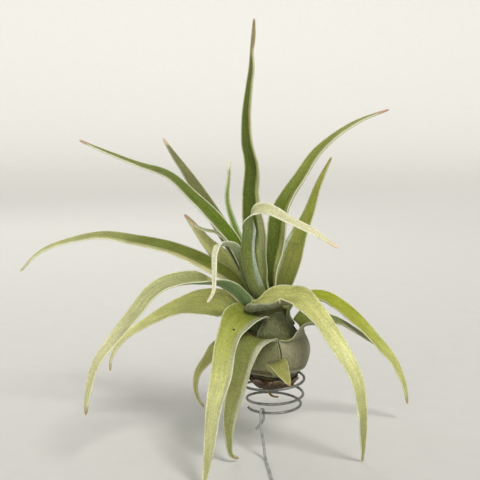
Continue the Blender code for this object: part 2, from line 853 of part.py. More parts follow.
def coil_place(angle):
    turn = math.radians(angle)
    radius = float(np.interp(angle, [c[0] for c in COIL_LINE], [c[1] for c in COIL_LINE]))
    height = float(np.interp(angle, [c[0] for c in COIL_LINE], [c[2] for c in COIL_LINE]))
    return np.array((COIL_X + radius * math.cos(turn), radius * math.sin(turn), height))


COIL_LINE = through(COIL, 8, 1)


def bulb_profile():
    """Half the outline of the bulb from the middle of its underside to the middle of its grooved top."""
    profile = [(0.0, BULB[0][1])]
    profile += [(float(r), float(z)) for r, z in BULB_LINE[::4]]
    for groove in reversed(GROOVES):
        outer = groove + GROOVE_WIDTH / 2.0
        inner = groove - GROOVE_WIDTH / 2.0
        profile.append((outer, BULB_TOP))
        profile.append((outer, BULB_TOP - GROOVE_DEPTH))
        profile.append((inner, BULB_TOP - GROOVE_DEPTH))
        profile.append((inner, BULB_TOP))
    profile.append((0.0, BULB_TOP))
    return profile


def husk_profile():
    """A thin cup that lies just outside the foot of the bulb."""
    inner = [(0.0, BULB[0][1] - SEAT_GAP)]
    heights = np.linspace(BULB[0][1], HUSK_TOP, 7)
    inner += [skin(float(z), HUSK_GAP) for z in heights]
    inner[1] = (BULB[0][0], BULB[0][1] - SEAT_GAP)
    outer = [skin(float(z), HUSK_GAP + HUSK_THICKNESS) for z in heights]
    outer[0] = (BULB[0][0] + 0.4, BULB[0][1] - SEAT_GAP - HUSK_THICKNESS)
    return inner + outer[::-1] + [(0.0, BULB[0][1] - SEAT_GAP - HUSK_THICKNESS)]


def build():
    for old in list(bpy.data.objects):
        bpy.data.objects.remove(old)
    parts = bpy.data.collections.new(NAME)
    bpy.context.scene.collection.children.link(parts)
    materials = {}
    for name, (colour, roughness, metal) in MATERIALS.items():
        material = bpy.data.materials.new(name)
        material.use_nodes = True
        shader = material.node_tree.nodes["Principled BSDF"]
        shader.inputs["Base Color"].default_value = colour
        shader.inputs["Roughness"].default_value = roughness
        shader.inputs["Metallic"].default_value = metal
        materials[name] = material

    for leaf in LEAVES:
        rows = blade_rows(leaf, leaf.rows, np.linspace(-1.0, 1.0, leaf.columns))
        made = sheet(leaf.name, rows, materials[leaf.colour], parts, leaf.thickness, RIM_SHARE)
        if leaf.stands:
            settle(made)

    spun("bulb_core", bulb_profile(), materials["bulb"], parts)
    spun("base_husk", husk_profile(), materials["husk"], parts)

    upper = []
    for share, first, last in SHIELD:
        height = UPPER_SHEATH[0] + share * (UPPER_SHEATH[1] - UPPER_SHEATH[0])
        radius, height = skin(height, upper_lift(share))
        upper.append([around(radius, float(t), height) for t in np.linspace(first, last, 9)])
    sheet("sheath_upper", np.array(upper), materials["bulb"], parts, UPPER_SHEATH_THICKNESS, 0.8)

    root = through(ROOT_LINE, 6, 3)
    wire("root_tendril", root, np.linspace(*ROOT_RADII, len(root)), materials["husk"], parts, 1)

    angles = np.arange(COIL[0][0], COIL[-1][0] + 0.1, COIL_STEP)
    coil = [coil_place(float(a)) for a in angles]
    wire("wire_coil", coil, [WIRE_RADIUS] * len(coil), materials["wire_dull"], parts, 2)

    hook = hook_line()
    wire("wire_hook", hook, [WIRE_RADIUS] * len(hook), materials["wire_bright"], parts, 2)


def hook_line():
    """From the short tail up over the coil's lowest turn, down to the surface and along it."""
    top = coil_place(HOOK_AZIMUTH)
    out = unit(np.array((math.cos(math.radians(HOOK_AZIMUTH)), math.sin(math.radians(HOOK_AZIMUTH)), 0.0)))
    knots = [np.array(TAIL_END)]
    knots.append(top - out * HOOK_BEND + np.array((0.0, 0.0, -5.0)))
    for turn in np.linspace(180.0, 0.0, 7):
        lift = np.array((0.0, 0.0, HOOK_BEND * math.sin(math.radians(turn))))
        knots.append(top + out * HOOK_BEND * math.cos(math.radians(turn)) + lift)
    foot = np.array((LEG_FOOT[0], LEG_FOOT[1], WIRE_RADIUS))
    end = np.array((LEG_END[0], LEG_END[1], WIRE_RADIUS))
    start = knots[-1] + np.array((0.0, 0.0, -3.0))
    knots.append(start)
    down = unit(foot - start)
    ahead = unit(end - foot)
    knots.append(foot - down * FOOT_BEND)
    for share in (0.25, 0.5, 0.75):
        first = foot - down * FOOT_BEND
        last = foot + ahead * FOOT_BEND
        knots.append((1 - share) ** 2 * first + 2 * share * (1 - share) * foot + share**2 * last)
    knots.append(foot + ahead * FOOT_BEND)
    knots.append((foot + ahead * FOOT_BEND + end) / 2.0)
    knots.append(end)
    line = through(knots, 2, 3)
    line[:, 2] = np.maximum(line[:, 2], WIRE_RADIUS)
    return line


build()
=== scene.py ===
"""Looks of the air plant on its wire coil, on the same measures as its construction.

Lengths in the tables are millimetres and angles degrees. Every mesh is made in metres, +Z up, front
toward -Y.
"""
from dataclasses import dataclass
from math import atan2, cos, exp, hypot, pi, radians, sin, sqrt

import bmesh
import bpy
import numpy as np
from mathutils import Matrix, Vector, noise


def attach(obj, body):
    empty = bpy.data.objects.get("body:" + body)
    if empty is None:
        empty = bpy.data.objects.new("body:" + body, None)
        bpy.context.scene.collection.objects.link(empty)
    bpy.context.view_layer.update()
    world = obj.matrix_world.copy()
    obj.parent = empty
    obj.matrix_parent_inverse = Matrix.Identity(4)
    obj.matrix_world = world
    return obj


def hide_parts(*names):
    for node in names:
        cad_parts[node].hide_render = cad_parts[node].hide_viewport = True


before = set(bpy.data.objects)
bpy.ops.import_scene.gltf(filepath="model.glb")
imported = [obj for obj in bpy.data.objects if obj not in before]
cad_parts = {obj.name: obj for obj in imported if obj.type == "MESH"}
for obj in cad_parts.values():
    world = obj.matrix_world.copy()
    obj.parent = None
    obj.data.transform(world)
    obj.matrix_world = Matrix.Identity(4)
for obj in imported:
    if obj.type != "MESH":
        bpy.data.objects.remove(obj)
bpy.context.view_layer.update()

MM = 0.001

# The front view: the eye stands in front of the plant and a little above it.
VIEW_CENTRE = np.array((-24, 0, 129.2))
VIEW_RISE = radians(8)
VIEW_DISTANCE = 600
VIEW_BACK = np.array((0, -cos(VIEW_RISE), sin(VIEW_RISE)))
# Moves the middle of the whole plant over the origin of the frame.
FRAME_SHIFT = np.array((39.1, -2, 0))

# Blades: thickness along the keel, its share near a rim, and the least width and channel angle
KEEL_THICKNESS = 1.25
RIM_SHARE = 0.62
TIP_WIDTH = 1.3
LEAST_SPAN = 20
# Steps between two points of a blade's line, and the length a full turn of its line counts as when the
# rows are spread along it
LINE_STEPS = 40
TURN_WEIGHT = 9
# A root gives way to the blade's own channel over this length, and the channel reaches its middle angle
# at this share of what is left.
ROOT_FADE = 6
FOLD_MIDDLE = 0.3
# The lowest part of a blade that stands on the surface is let down onto it.
SETTLE_HEIGHT = 30

# Bulb, from the flat underside up to the throat: radius and height.
BULB = (
    (6, 39.2), (9.4, 41), (13.2, 45.6), (16.9, 50.2), (19, 55), (19.9, 60.5),
    (19.4, 66), (17.6, 72), (14.8, 78), (12, 82), (10.4, 86), (10, 90),
)
BULB_FOOT_RADIUS, BULB_FOOT = BULB[0]
BULB_TOP = 90
BULB_X = -3.6
THROAT_X = -8
LEAN_FROM = 62
LEAN_TO = 84
# Leaves of the heart stand in grooves of this depth in the top of the bulb.
GROOVE_DEPTH = 4
SEAT_GAP = 0.3
SHEATH_GAP = 0.4

# Dry husk round the foot of the bulb
HUSK_THICKNESS = 1.2
HUSK_TOP = 46.2
HUSK_GAP = 0.4

# Wire
WIRE_RADIUS = 0.8
COIL_X = -3
# Turn angle, and radius and height of the wire's centre line
COIL = (
    (190, 16, 26.2), (270, 16, 26.8), (360, 16.2, 28.2), (450, 16.5, 30),
    (540, 16.8, 31.4), (630, 17.2, 32.6), (720, 17.6, 34.4), (810, 17.9, 36.8),
    (900, 18, 39.4), (990, 18.1, 41.7), (1080, 18.2, 44.2), (1170, 18.2, 47),
    (1240, 18, 48.9),
)
# The hook wire: where it hangs on the coil, its bends, its short tail, and the foot and far end of its leg
HOOK_AZIMUTH = 241
HOOK_BEND = 1.95
FOOT_BEND = 6
TAIL_END = (-14.4, -12, 15.5)
LEG_FOOT = (-9, -21, WIRE_RADIUS)
LEG_END = (-5, -66, WIRE_RADIUS)

# Sheath over the upper front of the bulb: low and high edge, and its first and last azimuth up its height.
UPPER_SHEATH = (69.5, 87.2)
SHIELD = np.array((
    (0, -117, -36), (0.2, -116, -36), (0.4, -110, -36), (0.6, -101, -36.5),
    (0.8, -88, -38), (0.93, -76, -41), (1, -66, -46),
))
UPPER_SHEATH_THICKNESS = 1.2
# It rises over the root of the long front leaf within this share of its height.
UPPER_SHEATH_RISE = (1.6, 0.34)
# One short root, from the foot of the husk
ROOT_LINE = ((-6.2, -3, 37.2), (-5.8, -3.4, 35), (-3.4, -3, 33.2), (-0.6, -2, 32.6))
ROOT_RADII = (0.9, 0.5)


@dataclass
class Leaf:
    """One leaf. Its node is called leaf_ and its name.

    root is ("ring", groove radius, azimuth, span), ("sheath", azimuth, low, high, span, inner and outer
    layer) or ("wrap", the way the inner face looks) for a blade that starts as a scoop beside the throat.
    line holds across, up, depth and rim-to-rim width along the blade, and faces the share of the length
    and the way the inner face looks there. fold is the channel angle at middle and tip, and just past the
    root where that isn't the root's span. skin holds the colours of the inner and the outer face from
    root to tip, of the margin and of the tip, and the share of the length in the tip's colour. strip is
    a strip along one rim: the rim's side, where it starts across the blade at root, middle and tip, its
    colours, and the shares of the length between which it lies. On the spire, the high right leaf and
    the long left leaf the strip is partly painted light on the lit half of the blade, and on the front
    arch it is partly a painted highlight.
    """

    name: str
    root: tuple
    line: tuple
    faces: tuple
    fold: tuple
    skin: tuple
    strip: tuple = ()
    stands: bool = False
    colour: str = "leaf"
    thickness: float = KEEL_THICKNESS


LEAVES = (
    Leaf("spire", ("ring", 2.6, 30, 130), (
        (-9.8, 104, 7, 9.8), (-12.4, 116, 10.2, 13.4), (-13.3, 134, 12, 16), (-16, 156.2, 12, 12.2),
        (-15.8, 173.6, 12, 10.2), (-19, 189.2, 12, 8.2), (-19.5, 204.2, 12, 6.6), (-18.2, 219.8, 12, 5.2),
        (-16.7, 234.8, 12, 3.8), (-16.9, 242, 12, 2.3), (-16.1, 249, 12, 2.8), (-15.5, 262.4, 11, 1.3),
    ), (
        (0.14, (-0.4, -0.9, 0)), (0.32, (-0.55, -0.8, 0)), (1, (-0.6, -0.8, 0)),
    ), (120, 80), (
        "4c5a12 48560c 4c5a14 646a3a", "858c54 969a68 8a8e60 7c7a54", "babb92", "958a66", 0.12,
    # The spire's strip is partly painted light: the half of the channel that faces the light is painted
    # lighter. It is partly the leaf's own paler striped band.
    ), (1, (-0.5, 0.5, 0.2), "aebc62 c6cc92 bcbc88 a6a274 867f58", 0, 0.9)),
    Leaf("right_high", ("ring", 5.4, 8, 78), (
        (-3.2, 113.6, 7.6, 10.6), (-0.6, 128, 11, 13.6), (2.2, 146, 15, 13.6), (6.4, 155.2, 18, 12.2),
        (12.2, 164.2, 22, 10.8), (23.4, 181.4, 29, 8.8), (35, 192.2, 36, 6.4), (47.4, 200.1, 42, 4.8),
        (65.6, 207.6, 50, 1.3),
    ), (
        (0.2, (-0.55, -0.8, 0.2)), (0.4, (-0.65, -0.6, 0.4)), (1, (-0.5, -0.5, 0.8)),
    ), (140, 90), (
        "2e3a08 586614 7a8238 969462", "7e8a5c b0b088 c0c09c b3ab8c", "cdd0b0", "b08e74", 0.06,
    # This strip is partly painted light: the half of the channel that faces the light is painted lighter. It
    # is partly the leaf's own paler striped band.
    ), (1, (-0.1, 0.25, 0), "c0bc6c b6b878 b4b27c bab88e b0a888", 0.02, 0.95)),
    Leaf("right_back", ("ring", 8.2, 66, 70), (
        (-2.2, 96, 11, 13.4), (1.2, 103.4, 15, 15.4), (5.4, 115.1, 20, 16.2), (10.2, 128.8, 27, 12.2),
        (16.2, 142.6, 34, 8), (24, 164.6, 43, 4.2), (30.9, 179, 50, 1.3),
    ), (
        (0.3, (-0.35, -0.9, 0.2)), (1, (-0.4, -0.9, 0.1)),
    ), (70, 50), (
        "46540a 828640 848c36 9c9a50", "7c8750 8b9360 a4a873 9c9a6a", "b2b68a", "b0a066", 0.05,
    ), (-1, (0.4, 0.75, 0.8), "b4c2ae b8c6b2 9aa07c", 0.02, 0.45)),
    Leaf("front_arch", ("ring", 5.4, -98, 60), (
        (-14, 100, -9, 8.6), (-17.3, 109, -11, 8.4), (-19.3, 120.2, -13, 8.2), (-18.6, 134, -16, 7.8),
        (-17.6, 141.6, -18, 7.8), (-14.2, 146.6, -20.5, 7.8), (-9, 147.6, -24, 7.4), (-3, 145.4, -27.4, 6.8),
        (3.6, 141.8, -31, 5.8), (17.4, 135.2, -38, 4.6), (35.1, 124.4, -46, 1.5),
    ), (
        (0.3, (0.1, 1, 0.1)), (0.43, (0.1, 0.95, 0.3)), (0.5, (-0.45, 0, 0.9)), (0.56, (-0.1, -0.8, 0.6)),
        (0.7, (0.1, -0.78, 0.62)), (1, (0.2, -0.8, 0.6)),
    ), (110, 70), (
        "5c6c40 8f9a66 cccaa0 d2cea8", "808a54 64702e 8b9a66 c0bc98", "e0dfc4", "d8c8a8", 0.05,
    # This strip is partly a painted highlight: the near-white band on the stem. It is partly the leaf's own
    # pale rolled rim.
    ), (-1, (0.3, 0.6, 0.6), "78886e 98aa98 e0eae0 d4dcce ccd4c6", 0.12, 0.46), colour="leaf_pale"),
    Leaf("centre_thin", ("ring", 2.6, 172, 90), (
        (-12.6, 100, 3.8, 3), (-14.8, 106, 5.4, 3.2), (-18.6, 115, 7.4, 3.6), (-23.4, 127.4, 9, 4.6),
        (-28.2, 139.2, 10, 4.8), (-32, 153, 9, 3.6), (-30.9, 166.8, 9, 2.4), (-30.2, 177.8, 9, 1.3),
    ), (
        (0.3, (0.7, -0.7, 0.1)), (1, (0.6, -0.8, 0)),
    ), (120, 90), (
        "566c20 607c22 76883a a4a874", "6a7c42 84945c 949f66 b4b790", "b8c19a", "e4e0cc", 0.06,
    ), (1, (0.45, 0.5, 0.6), "8fa088 9fae96 98a47c", 0.1, 0.7)),
    Leaf("left_high", ("ring", 5.4, -172, 64), (
        (-17.6, 109, -1, 7.8), (-24.4, 121.6, 0.4, 9.4), (-38.4, 139.7, 0, 10.5), (-53.7, 155, -3, 9.4),
        (-67, 167.3, -6, 7.4), (-86.1, 174.5, -9, 4.9), (-109, 183.8, -11, 3), (-120.6, 189.2, -11, 1.3),
    ), (
        (0.3, (0.5, -0.65, 0.6)), (1, (0.3, -0.5, 0.8)),
    ), (110, 70), (
        "4c6600 566c02 647030 868a56", "76825a 8f946e a3a57c a5a180", "d2d4b6", "b0957c", 0.04,
    ), (-1, (0.5, 0.4, 0.3), "6e7a50 7e865c 989b72 a8a684", 0.15, 0.95)),
    Leaf("left_back", ("ring", 8.2, 128, 46), (
        (-21, 110, 14, 10), (-27, 122, 20, 11), (-41.4, 145.4, 26, 10.8), (-54, 165.8, 40, 7.6),
        (-66, 183.5, 54, 3.4), (-70.2, 190.4, 60, 1.3),
    ), (
        (0.3, (0.5, -0.8, 0.3)), (1, (0.4, -0.8, 0.4)),
    ), (80, 50), (
        "5c622c 62662e 686a3a 787650", "7f8650 888e58 8e9062 86825e", "a2a380", "cbb596", 0.05,
    )),
    Leaf("left_short", ("sheath", 113, 81, 86.5, 36, 0, 0), (
        (-25, 104.2, 17.4, 9), (-31.2, 113.4, 22.4, 12.4), (-45.6, 129.2, 30, 7.8), (-54, 140.6, 36, 3.6),
        (-57.4, 144.8, 40, 1.3),
    ), (
        (0.3, (0.4, -0.8, 0.4)), (1, (0.4, -0.8, 0.4)),
    ), (80, 50), (
        "b0b868 bec678 b8ba78 b4ac80", "9c9f62 9c9c68 9c9a6c a09a6e", "b6b290", "ba9680", 0.06,
    )),
    Leaf("left_thin", ("ring", 8.2, 165, 20), (
        (-19.2, 104, 4.6, 3.4), (-23.8, 115, 7.4, 3.6), (-28.8, 124.5, 9, 3.6), (-33.5, 130.6, 9.8, 3.4),
        (-38.6, 133.8, 10.5, 2.8), (-45.6, 135.4, 13, 2.4), (-54.7, 140, 17, 1.3),
    ), (
        (0.4, (0.1, -0.5, 0.9)), (1, (0.1, -0.5, 0.9)),
    ), (70, 50), (
        "7a8650 929a64 a2a874 b4b48c", "7a864e 909866 9ea27a a8a884", "c6c9a8", "c3b394", 0.07,
    )),
    Leaf("left_long", ("sheath", 153, 80, 86, 38, 0, 0), (
        (-24, 99, 6.4, 10), (-30, 106, 9.6, 12), (-40.8, 112.4, 13, 12.4), (-63.3, 122.8, 20, 10.6),
        (-90, 129.2, 28, 8.4), (-103.8, 131.6, 31, 7.2), (-123, 129.5, 35, 5), (-145.2, 121.1, 39, 3),
        (-156, 110.3, 41, 1.3),
    ), (
        (0.25, (0.1, -0.65, 0.75)), (1, (-0.1, -0.6, 0.8)),
    ), (80, 50), (
        "9ca04e 7c8634 7a843c a6a870 c2c18c", "6c7850 808a60 989c70 b4b488", "dadab8", "c2b88e", 0.05,
    # This strip is painted light: the lower half of the blade is painted lighter, as where the light falls
    # on it.
    ), (-1, (0.3, 0.4, 0.3), "dcd8a0 d4cf9c bcbc84 b8ba80", -0.1, 0.7)),
    Leaf("left_front", ("sheath", -140, 86.6, 89.8, 44, 0, 0), (
        (-20, 90.4, -9.6, 11.6), (-24.6, 95, -12.4, 10.8), (-29.4, 99, -16, 11.2), (-36.2, 102, -20.4, 13.4),
        (-45, 103.4, -24.6, 15.2), (-56.4, 104.2, -29, 13.2), (-67.2, 102.4, -33.5, 11.6),
        (-75, 98.2, -37.5, 10.8), (-85.8, 86, -44, 9.6), (-98.1, 71, -50, 8), (-110.1, 54.5, -54, 5.8),
        (-115.5, 34.7, -54, 3.8), (-116.7, 23.9, -52, 1.5),
    ), (
        (0.08, (0.5, 0.8, 0.2)), (0.14, (0.4, 0.85, 0.4)), (0.21, (0.3, 0.35, 0.9)), (0.3, (0, -0.35, 0.95)),
        (0.45, (-0.2, -0.6, 0.8)), (1, (-0.5, -0.85, 0.1)),
    ), (110, 60, 90), (
        "6c7a38 8f955a a8aa78 c0bd92 b8b684", "6a8050 74885a 828a62 9a9a70", "d6d6b0", "a89a74", 0.04,
    ), (1, (0.3, 0.6, 0.7), "dccfa4 d8ccaa c8c098", 0.02, 0.2)),
    Leaf("left_low", ("sheath", 168, 69.5, 76.5, 48, 0, 0), (
        (-31, 89, 5.6, 18), (-37.8, 90.8, 9, 18.8), (-48.6, 91, 13.4, 17.4), (-58.8, 89, 18.5, 13.8),
        (-78, 80.5, 27, 8), (-94.8, 68.6, 35, 4.6), (-101.4, 57.2, 40, 2.2), (-101.9, 50.6, 42, 1.4),
    ), (
        (0.18, (-0.1, -0.85, 0.55)), (0.4, (0, -0.7, 0.7)), (1, (-0.5, -0.7, 0.5)),
    ), (75, 50), (
        "848a46 999c56 aaac66 c9c788 bcba84", "6a744a 7e8654 96986a a4a278", "d8d7ae", "b0a27c", 0.05,
    )),
    Leaf("front_long", ("sheath", -129, 75.4, 84.6, 68, 0, 0), (
        (-18.4, 83.4, -18.8, 24.6), (-23.6, 80.4, -25.6, 22.6), (-29, 73, -32.4, 15.4),
        (-33, 62, -41.5, 12.8), (-35.4, 47.6, -50, 12), (-40.2, 26.6, -59, 8.8), (-42.7, 3.2, -66, 6),
        (-46.2, -21.4, -70, 1.6),
    ), (
        (0.17, (-0.2, -0.55, 0.82)), (0.3, (-0.3, -0.85, 0.5)), (0.5, (0, -1, 0.2)), (1, (0, -1, 0.1)),
    ), (90, 50, 60), (
        "525a20 828a30 a8ab58 b8b97c a8a878 969666", "5e6a40 747e50 90956a a09e72", "ccccaa", "a39a70", 0.03,
    ), (-1, (0.48, 0.62, 0.7), "969980 a4a78c a0a384 aaaa8e", 0.04, 0.85), stands=True),
    Leaf("front_hang", ("sheath", -118, 54, 70, 75, 0, 1.8), (
        (-15.5, 70.4, -25.5, 25), (-18.6, 66.5, -31, 18), (-21.6, 57.2, -33, 12), (-24.9, 45.2, -34, 10.8),
        (-29.7, 26.6, -33, 9), (-30.7, 10.4, -30.5, 5), (-28.5, -0.4, -28, 2.4), (-24.6, -2, -26, 1.3),
    ), (
        (0.3, (-0.1, -0.8, 0.7)), (0.5, (0.1, -1, 0.2)), (1, (0.1, -1, 0.1)),
    ), (90, 50), (
        "565e28 6e7634 828648 8c9058 7e804c", "82825a 6c7048 8c9064 9a9870", "b4b692", "a39a74", 0.04,
    ), (-1, (0.55, 0.6, 0.65), "c2c2a8 babba0 acac8e", 0.17, 0.9)),
    Leaf("small_tip", ("sheath", -81, 50, 53.4, 24, 0, 3), (
        (-2.6, 55.2, -26.2, 11), (-1, 54.2, -28.4, 11), (2.4, 48.8, -30.2, 7.2), (6.2, 41.4, -29.6, 1.3),
    ), (
        (0.8, (0.1, -1, 0.4)), (1, (0.1, -1, 0.3)),
    ), (60, 30), (
        "6c7030 807f3c 8c8a48 989458", "7c8450 8f945c a0a06a a89e70", "c0c094", "a8985e", 0.08,
    ), thickness=0.9),
    Leaf("right_front", ("wrap", (0, -0.05, 1)), (
        (-21.2, 87.8, -16.8, 2.4), (-18.8, 86.6, -17.2, 6), (-14, 86.7, -17.6, 7), (-9.2, 87.9, -16.6, 9),
        (-4.6, 89.6, -15, 13), (0.6, 91, -14, 16.6), (5.8, 91.9, -15.6, 17), (12.4, 92.4, -19.6, 15),
        (17.2, 88.6, -24, 13.6), (22.6, 82.6, -28.6, 12.6), (28.8, 74, -33, 12), (34.8, 65, -36.5, 11.2),
        (40.5, 56, -39, 9.8), (45, 47, -40, 8.6), (48.9, 29, -38.5, 6.4), (49.7, 9.2, -32, 4.2),
        (49.5, -3.7, -25, 1.5),
    ), (
        (0, (0, -0.05, 1)), (0.06, (0, -0.12, 1)), (0.1, (0, -0.38, 0.93)), (0.19, (0, -0.3, 0.95)),
        (0.26, (-0.1, -0.75, 0.66)), (0.36, (0.35, -0.75, 0.6)), (1, (0.2, -1, 0.1)),
    ), (96, 50, 262), (
        "a0a25c b4b46c c0c078 cccc90 b6b77c 989a66 8a8b54", "6c7052 76795a 929472 92946c 90925c", "d4d4ae",
        "a29c70", 0.03,
    ), stands=True),
    Leaf("right_droop", ("sheath", 8, 77.5, 84.5, 80, 0, 2), (
        (6.8, 89.6, 4.6, 16), (12.6, 93.4, 10.6, 14.4), (25.2, 94.1, 18.5, 12), (40.2, 85.4, 25, 11.6),
        (55.2, 71, 33, 9.2), (68.4, 55.4, 40, 6.8), (75, 39.8, 45, 3.6), (76.6, 30.8, 48, 1.3),
    ), (
        (0.3, (0.1, -0.65, 0.75)), (1, (0.4, -0.8, 0.4)),
    ), (80, 50), (
        "707a1c 969e22 a0a63c b6b86c b0b07c", "747e4a 8e9458 a0a268 aca878", "cfcfa0", "a9966c", 0.05,
    )),
    Leaf("right_low", ("sheath", -29.5, 52.5, 71, 99, 0, 1.7), (
        (13.2, 77.4, -12.4, 19.6), (18.3, 79.9, -9.7, 21), (23.8, 81.2, -4.6, 17), (29.2, 81.4, 3.6, 12.4),
        (34.5, 80.2, 13, 9.2), (42, 76.4, 26, 7.4), (57, 66.8, 46, 1.3),
    ), (
        (0.34, (-0.15, -0.64, 0.76)), (0.5, (0, -0.65, 0.75)), (1, (0.1, -0.7, 0.7)),
    ), (52, 50), (
        "5a682c 707830 6a7636 7c8444 96965c", "8c8a6c 908e72 7c8258 868c5a 9c9a6a", "b6b794", "a5966e", 0.06,
    )),
    Leaf("left_small", ("sheath", 176, 56, 66, 40, 0, 0), (
        (-33, 68, 3, 11), (-38.4, 63.4, 4, 9.8), (-43.8, 56.6, 6, 7), (-48.6, 50.6, 8, 5.2),
        (-50.4, 39.2, 9, 3), (-48.6, 33.2, 9, 2), (-45.6, 28.7, 8, 1.3),
    ), (
        (0.4, (-0.5, -0.75, 0.5)), (1, (-0.4, -0.9, 0.1)),
    ), (80, 50), (
        "747a3e 929252 98985a a09e64", "6a7446 80865a 929464 a09a6c", "bcbb92", "a4966e", 0.05,
    )),
    Leaf("hook_tip", ("ring", 8.2, -161, 38), (
        (-18.4, 100, -4, 5), (-21.6, 108, -5.6, 5.2), (-23, 115.6, -6.2, 5.2), (-25.2, 121.4, -8, 6),
        (-29, 125.4, -12, 7), (-33.6, 126.2, -19, 7), (-36.8, 125.4, -26, 6), (-38.6, 121, -31, 4.8),
        (-39.2, 107.6, -36.5, 3.4), (-40.2, 97.4, -39, 2.2), (-43.8, 91.4, -40, 1.3),
    ), (
        (0.3, (0.4, 0.9, 0.2)), (0.48, (0.15, 0.6, 0.8)), (0.62, (-0.5, 0, 0.85)), (0.72, (-0.8, -0.6, 0.2)),
        (1, (-0.6, -0.8, 0.1)),
    ), (110, 60), (
        "56622c 5c6a34 6c7a44 c0c8a2 d8d8b4 dcdab8 dad6b6",
        "4c582c 54602e 606e3a b8c29e d0d0ae d0d0ae ccc9a6", "deddc4", "ddd2ba", 0.06,
    ), colour="leaf_pale"),
    Leaf("back_prop", ("sheath", 128, 57, 66, 46, 0, 0), (
        (-24, 66, 31, 9), (-27, 56, 40, 8), (-28.2, 43, 48, 6.4), (-29.6, 31, 54, 4), (-30.6, 22, 60, 1.5),
    ), (
        (0.4, (-0.3, 0.8, 0.5)), (1, (-0.3, 1, 0.2)),
    ), (70, 50), (
        "6a763a 848e48 9c9e5c a4a26c", "6a744a 7e8656 90925f 9c986e", "bcbe94", "a4966e", 0.05,
    ), stands=True),
    Leaf("back_droop", ("sheath", 84, 68, 76.5, 54, 0, 0), (
        (-4.4, 86, 18.6, 12), (-3, 90, 24.5, 12), (-2.2, 92, 33, 11.4), (-2.4, 89, 46, 10),
        (-3.4, 81, 59, 7.6), (-4, 71, 68, 5), (-5, 60, 74, 1.3),
    ), (
        (0.6, (0, 0.3, 1)), (1, (0, 0.5, 0.9)),
    ), (80, 50), (
        "6c783a 88924a a6a862 b0ae76", "6a744a 828a58 969864 a09c70", "c4c69a", "a9996e", 0.05,
    )),
)


def unit(vector):
    return vector / np.linalg.norm(vector)


def turned(angle):
    """The level direction at this azimuth."""
    return np.array((cos(radians(angle)), sin(radians(angle)), 0))


def smooth(share):
    share = min(1, max(0, share))
    return share * share * (3 - 2 * share)


def ramp(value, low, high):
    return smooth((value - low) / (high - low))


def between(value, places, table):
    """The row of the table for a value among the places of its rows."""
    return np.array([np.interp(value, places, column) for column in np.transpose(table)])


def lengths(points):
    """How far along a line each of its points lies."""
    return np.concatenate(([0], np.cumsum(np.linalg.norm(np.diff(points, axis=0), axis=1))))


def front(across, up, depth):
    """The point at this depth that the front view shows at this place of the picture plane."""
    rise = up - VIEW_CENTRE[2]
    flat = np.array((across, rise * sin(VIEW_RISE), VIEW_CENTRE[2] + rise * cos(VIEW_RISE)))
    eye = VIEW_CENTRE + VIEW_DISTANCE * VIEW_BACK
    return flat + (eye - flat) * (depth - flat[1]) / (eye[1] - flat[1])


def axis_x(height):
    """The bulb leans to the left above its widest part."""
    return BULB_X + (THROAT_X - BULB_X) * ramp(height, LEAN_FROM, LEAN_TO)


def through(points, count, axes):
    """A smooth line through unevenly spaced points, count places between each two of them. axes is how
    many of the numbers of a point are its place."""
    points = [np.array(p, dtype=float) for p in points]
    gaps = [np.linalg.norm((b - a)[:axes]) for a, b in zip(points, points[1:])]
    slopes = [(points[1] - points[0]) / gaps[0]]
    for i in range(1, len(points) - 1):
        before = (points[i] - points[i - 1]) / gaps[i - 1]
        after = (points[i + 1] - points[i]) / gaps[i]
        slopes.append((before * gaps[i] + after * gaps[i - 1]) / (gaps[i] + gaps[i - 1]))
    slopes.append((points[-1] - points[-2]) / gaps[-1])
    line = []
    for i, gap in enumerate(gaps):
        for k in range(count):
            t = k / count
            start = (1 + 2 * t) * (1 - t) ** 2 * points[i] + t * (1 - t) ** 2 * gap * slopes[i]
            end = t * t * (3 - 2 * t) * points[i + 1] + t * t * (t - 1) * gap * slopes[i + 1]
            line.append(start + end)
    line.append(points[-1])
    return np.array(line)


BULB_LINE = through(BULB, 8, 2)
COIL_LINE = through(COIL, 8, 1)


def bulb_radius(height):
    return np.interp(height, BULB_LINE[:, 1], BULB_LINE[:, 0])


def skin(height, lift):
    """Radius and height of the point that stands off the bulb's surface by lift, square to it."""
    slope = bulb_radius(height + 0.5) - bulb_radius(height - 0.5)
    across = 1 / hypot(1, slope)
    return bulb_radius(height) + lift * across, height - lift * slope * across


def around(radius, azimuth, height):
    """A point round the leaning axis of the bulb."""
    return np.array((axis_x(height), 0, height)) + radius * turned(azimuth)


def root_radius(leaf, share):
    """Radius and height of the middle surface of a leaf's root, share 0 at its foot and 1 where it opens."""
    if leaf.root[0] == "ring":
        low = BULB_TOP - GROOVE_DEPTH + SEAT_GAP
        return leaf.root[1], low + share * (BULB_TOP + 1 - low)
    low, high, inner, outer = leaf.root[2], leaf.root[3], leaf.root[5], leaf.root[6]
    lift = SHEATH_GAP + 0.5 * leaf.thickness + inner + (outer - inner) * share
    return skin(low + share * (high - low), lift)


def upper_lift(share):
    """How far the middle of the upper sheath stands off the bulb at this share of its height."""
    rise, end = UPPER_SHEATH_RISE
    return SHEATH_GAP + UPPER_SHEATH_THICKNESS / 2 + rise * smooth(share / end)


def root_turn(leaf):
    """Azimuth and span of a leaf's root."""
    if leaf.root[0] == "wrap":
        return 0, LEAST_SPAN
    return leaf.root[2:4] if leaf.root[0] == "ring" else (leaf.root[1], leaf.root[4])


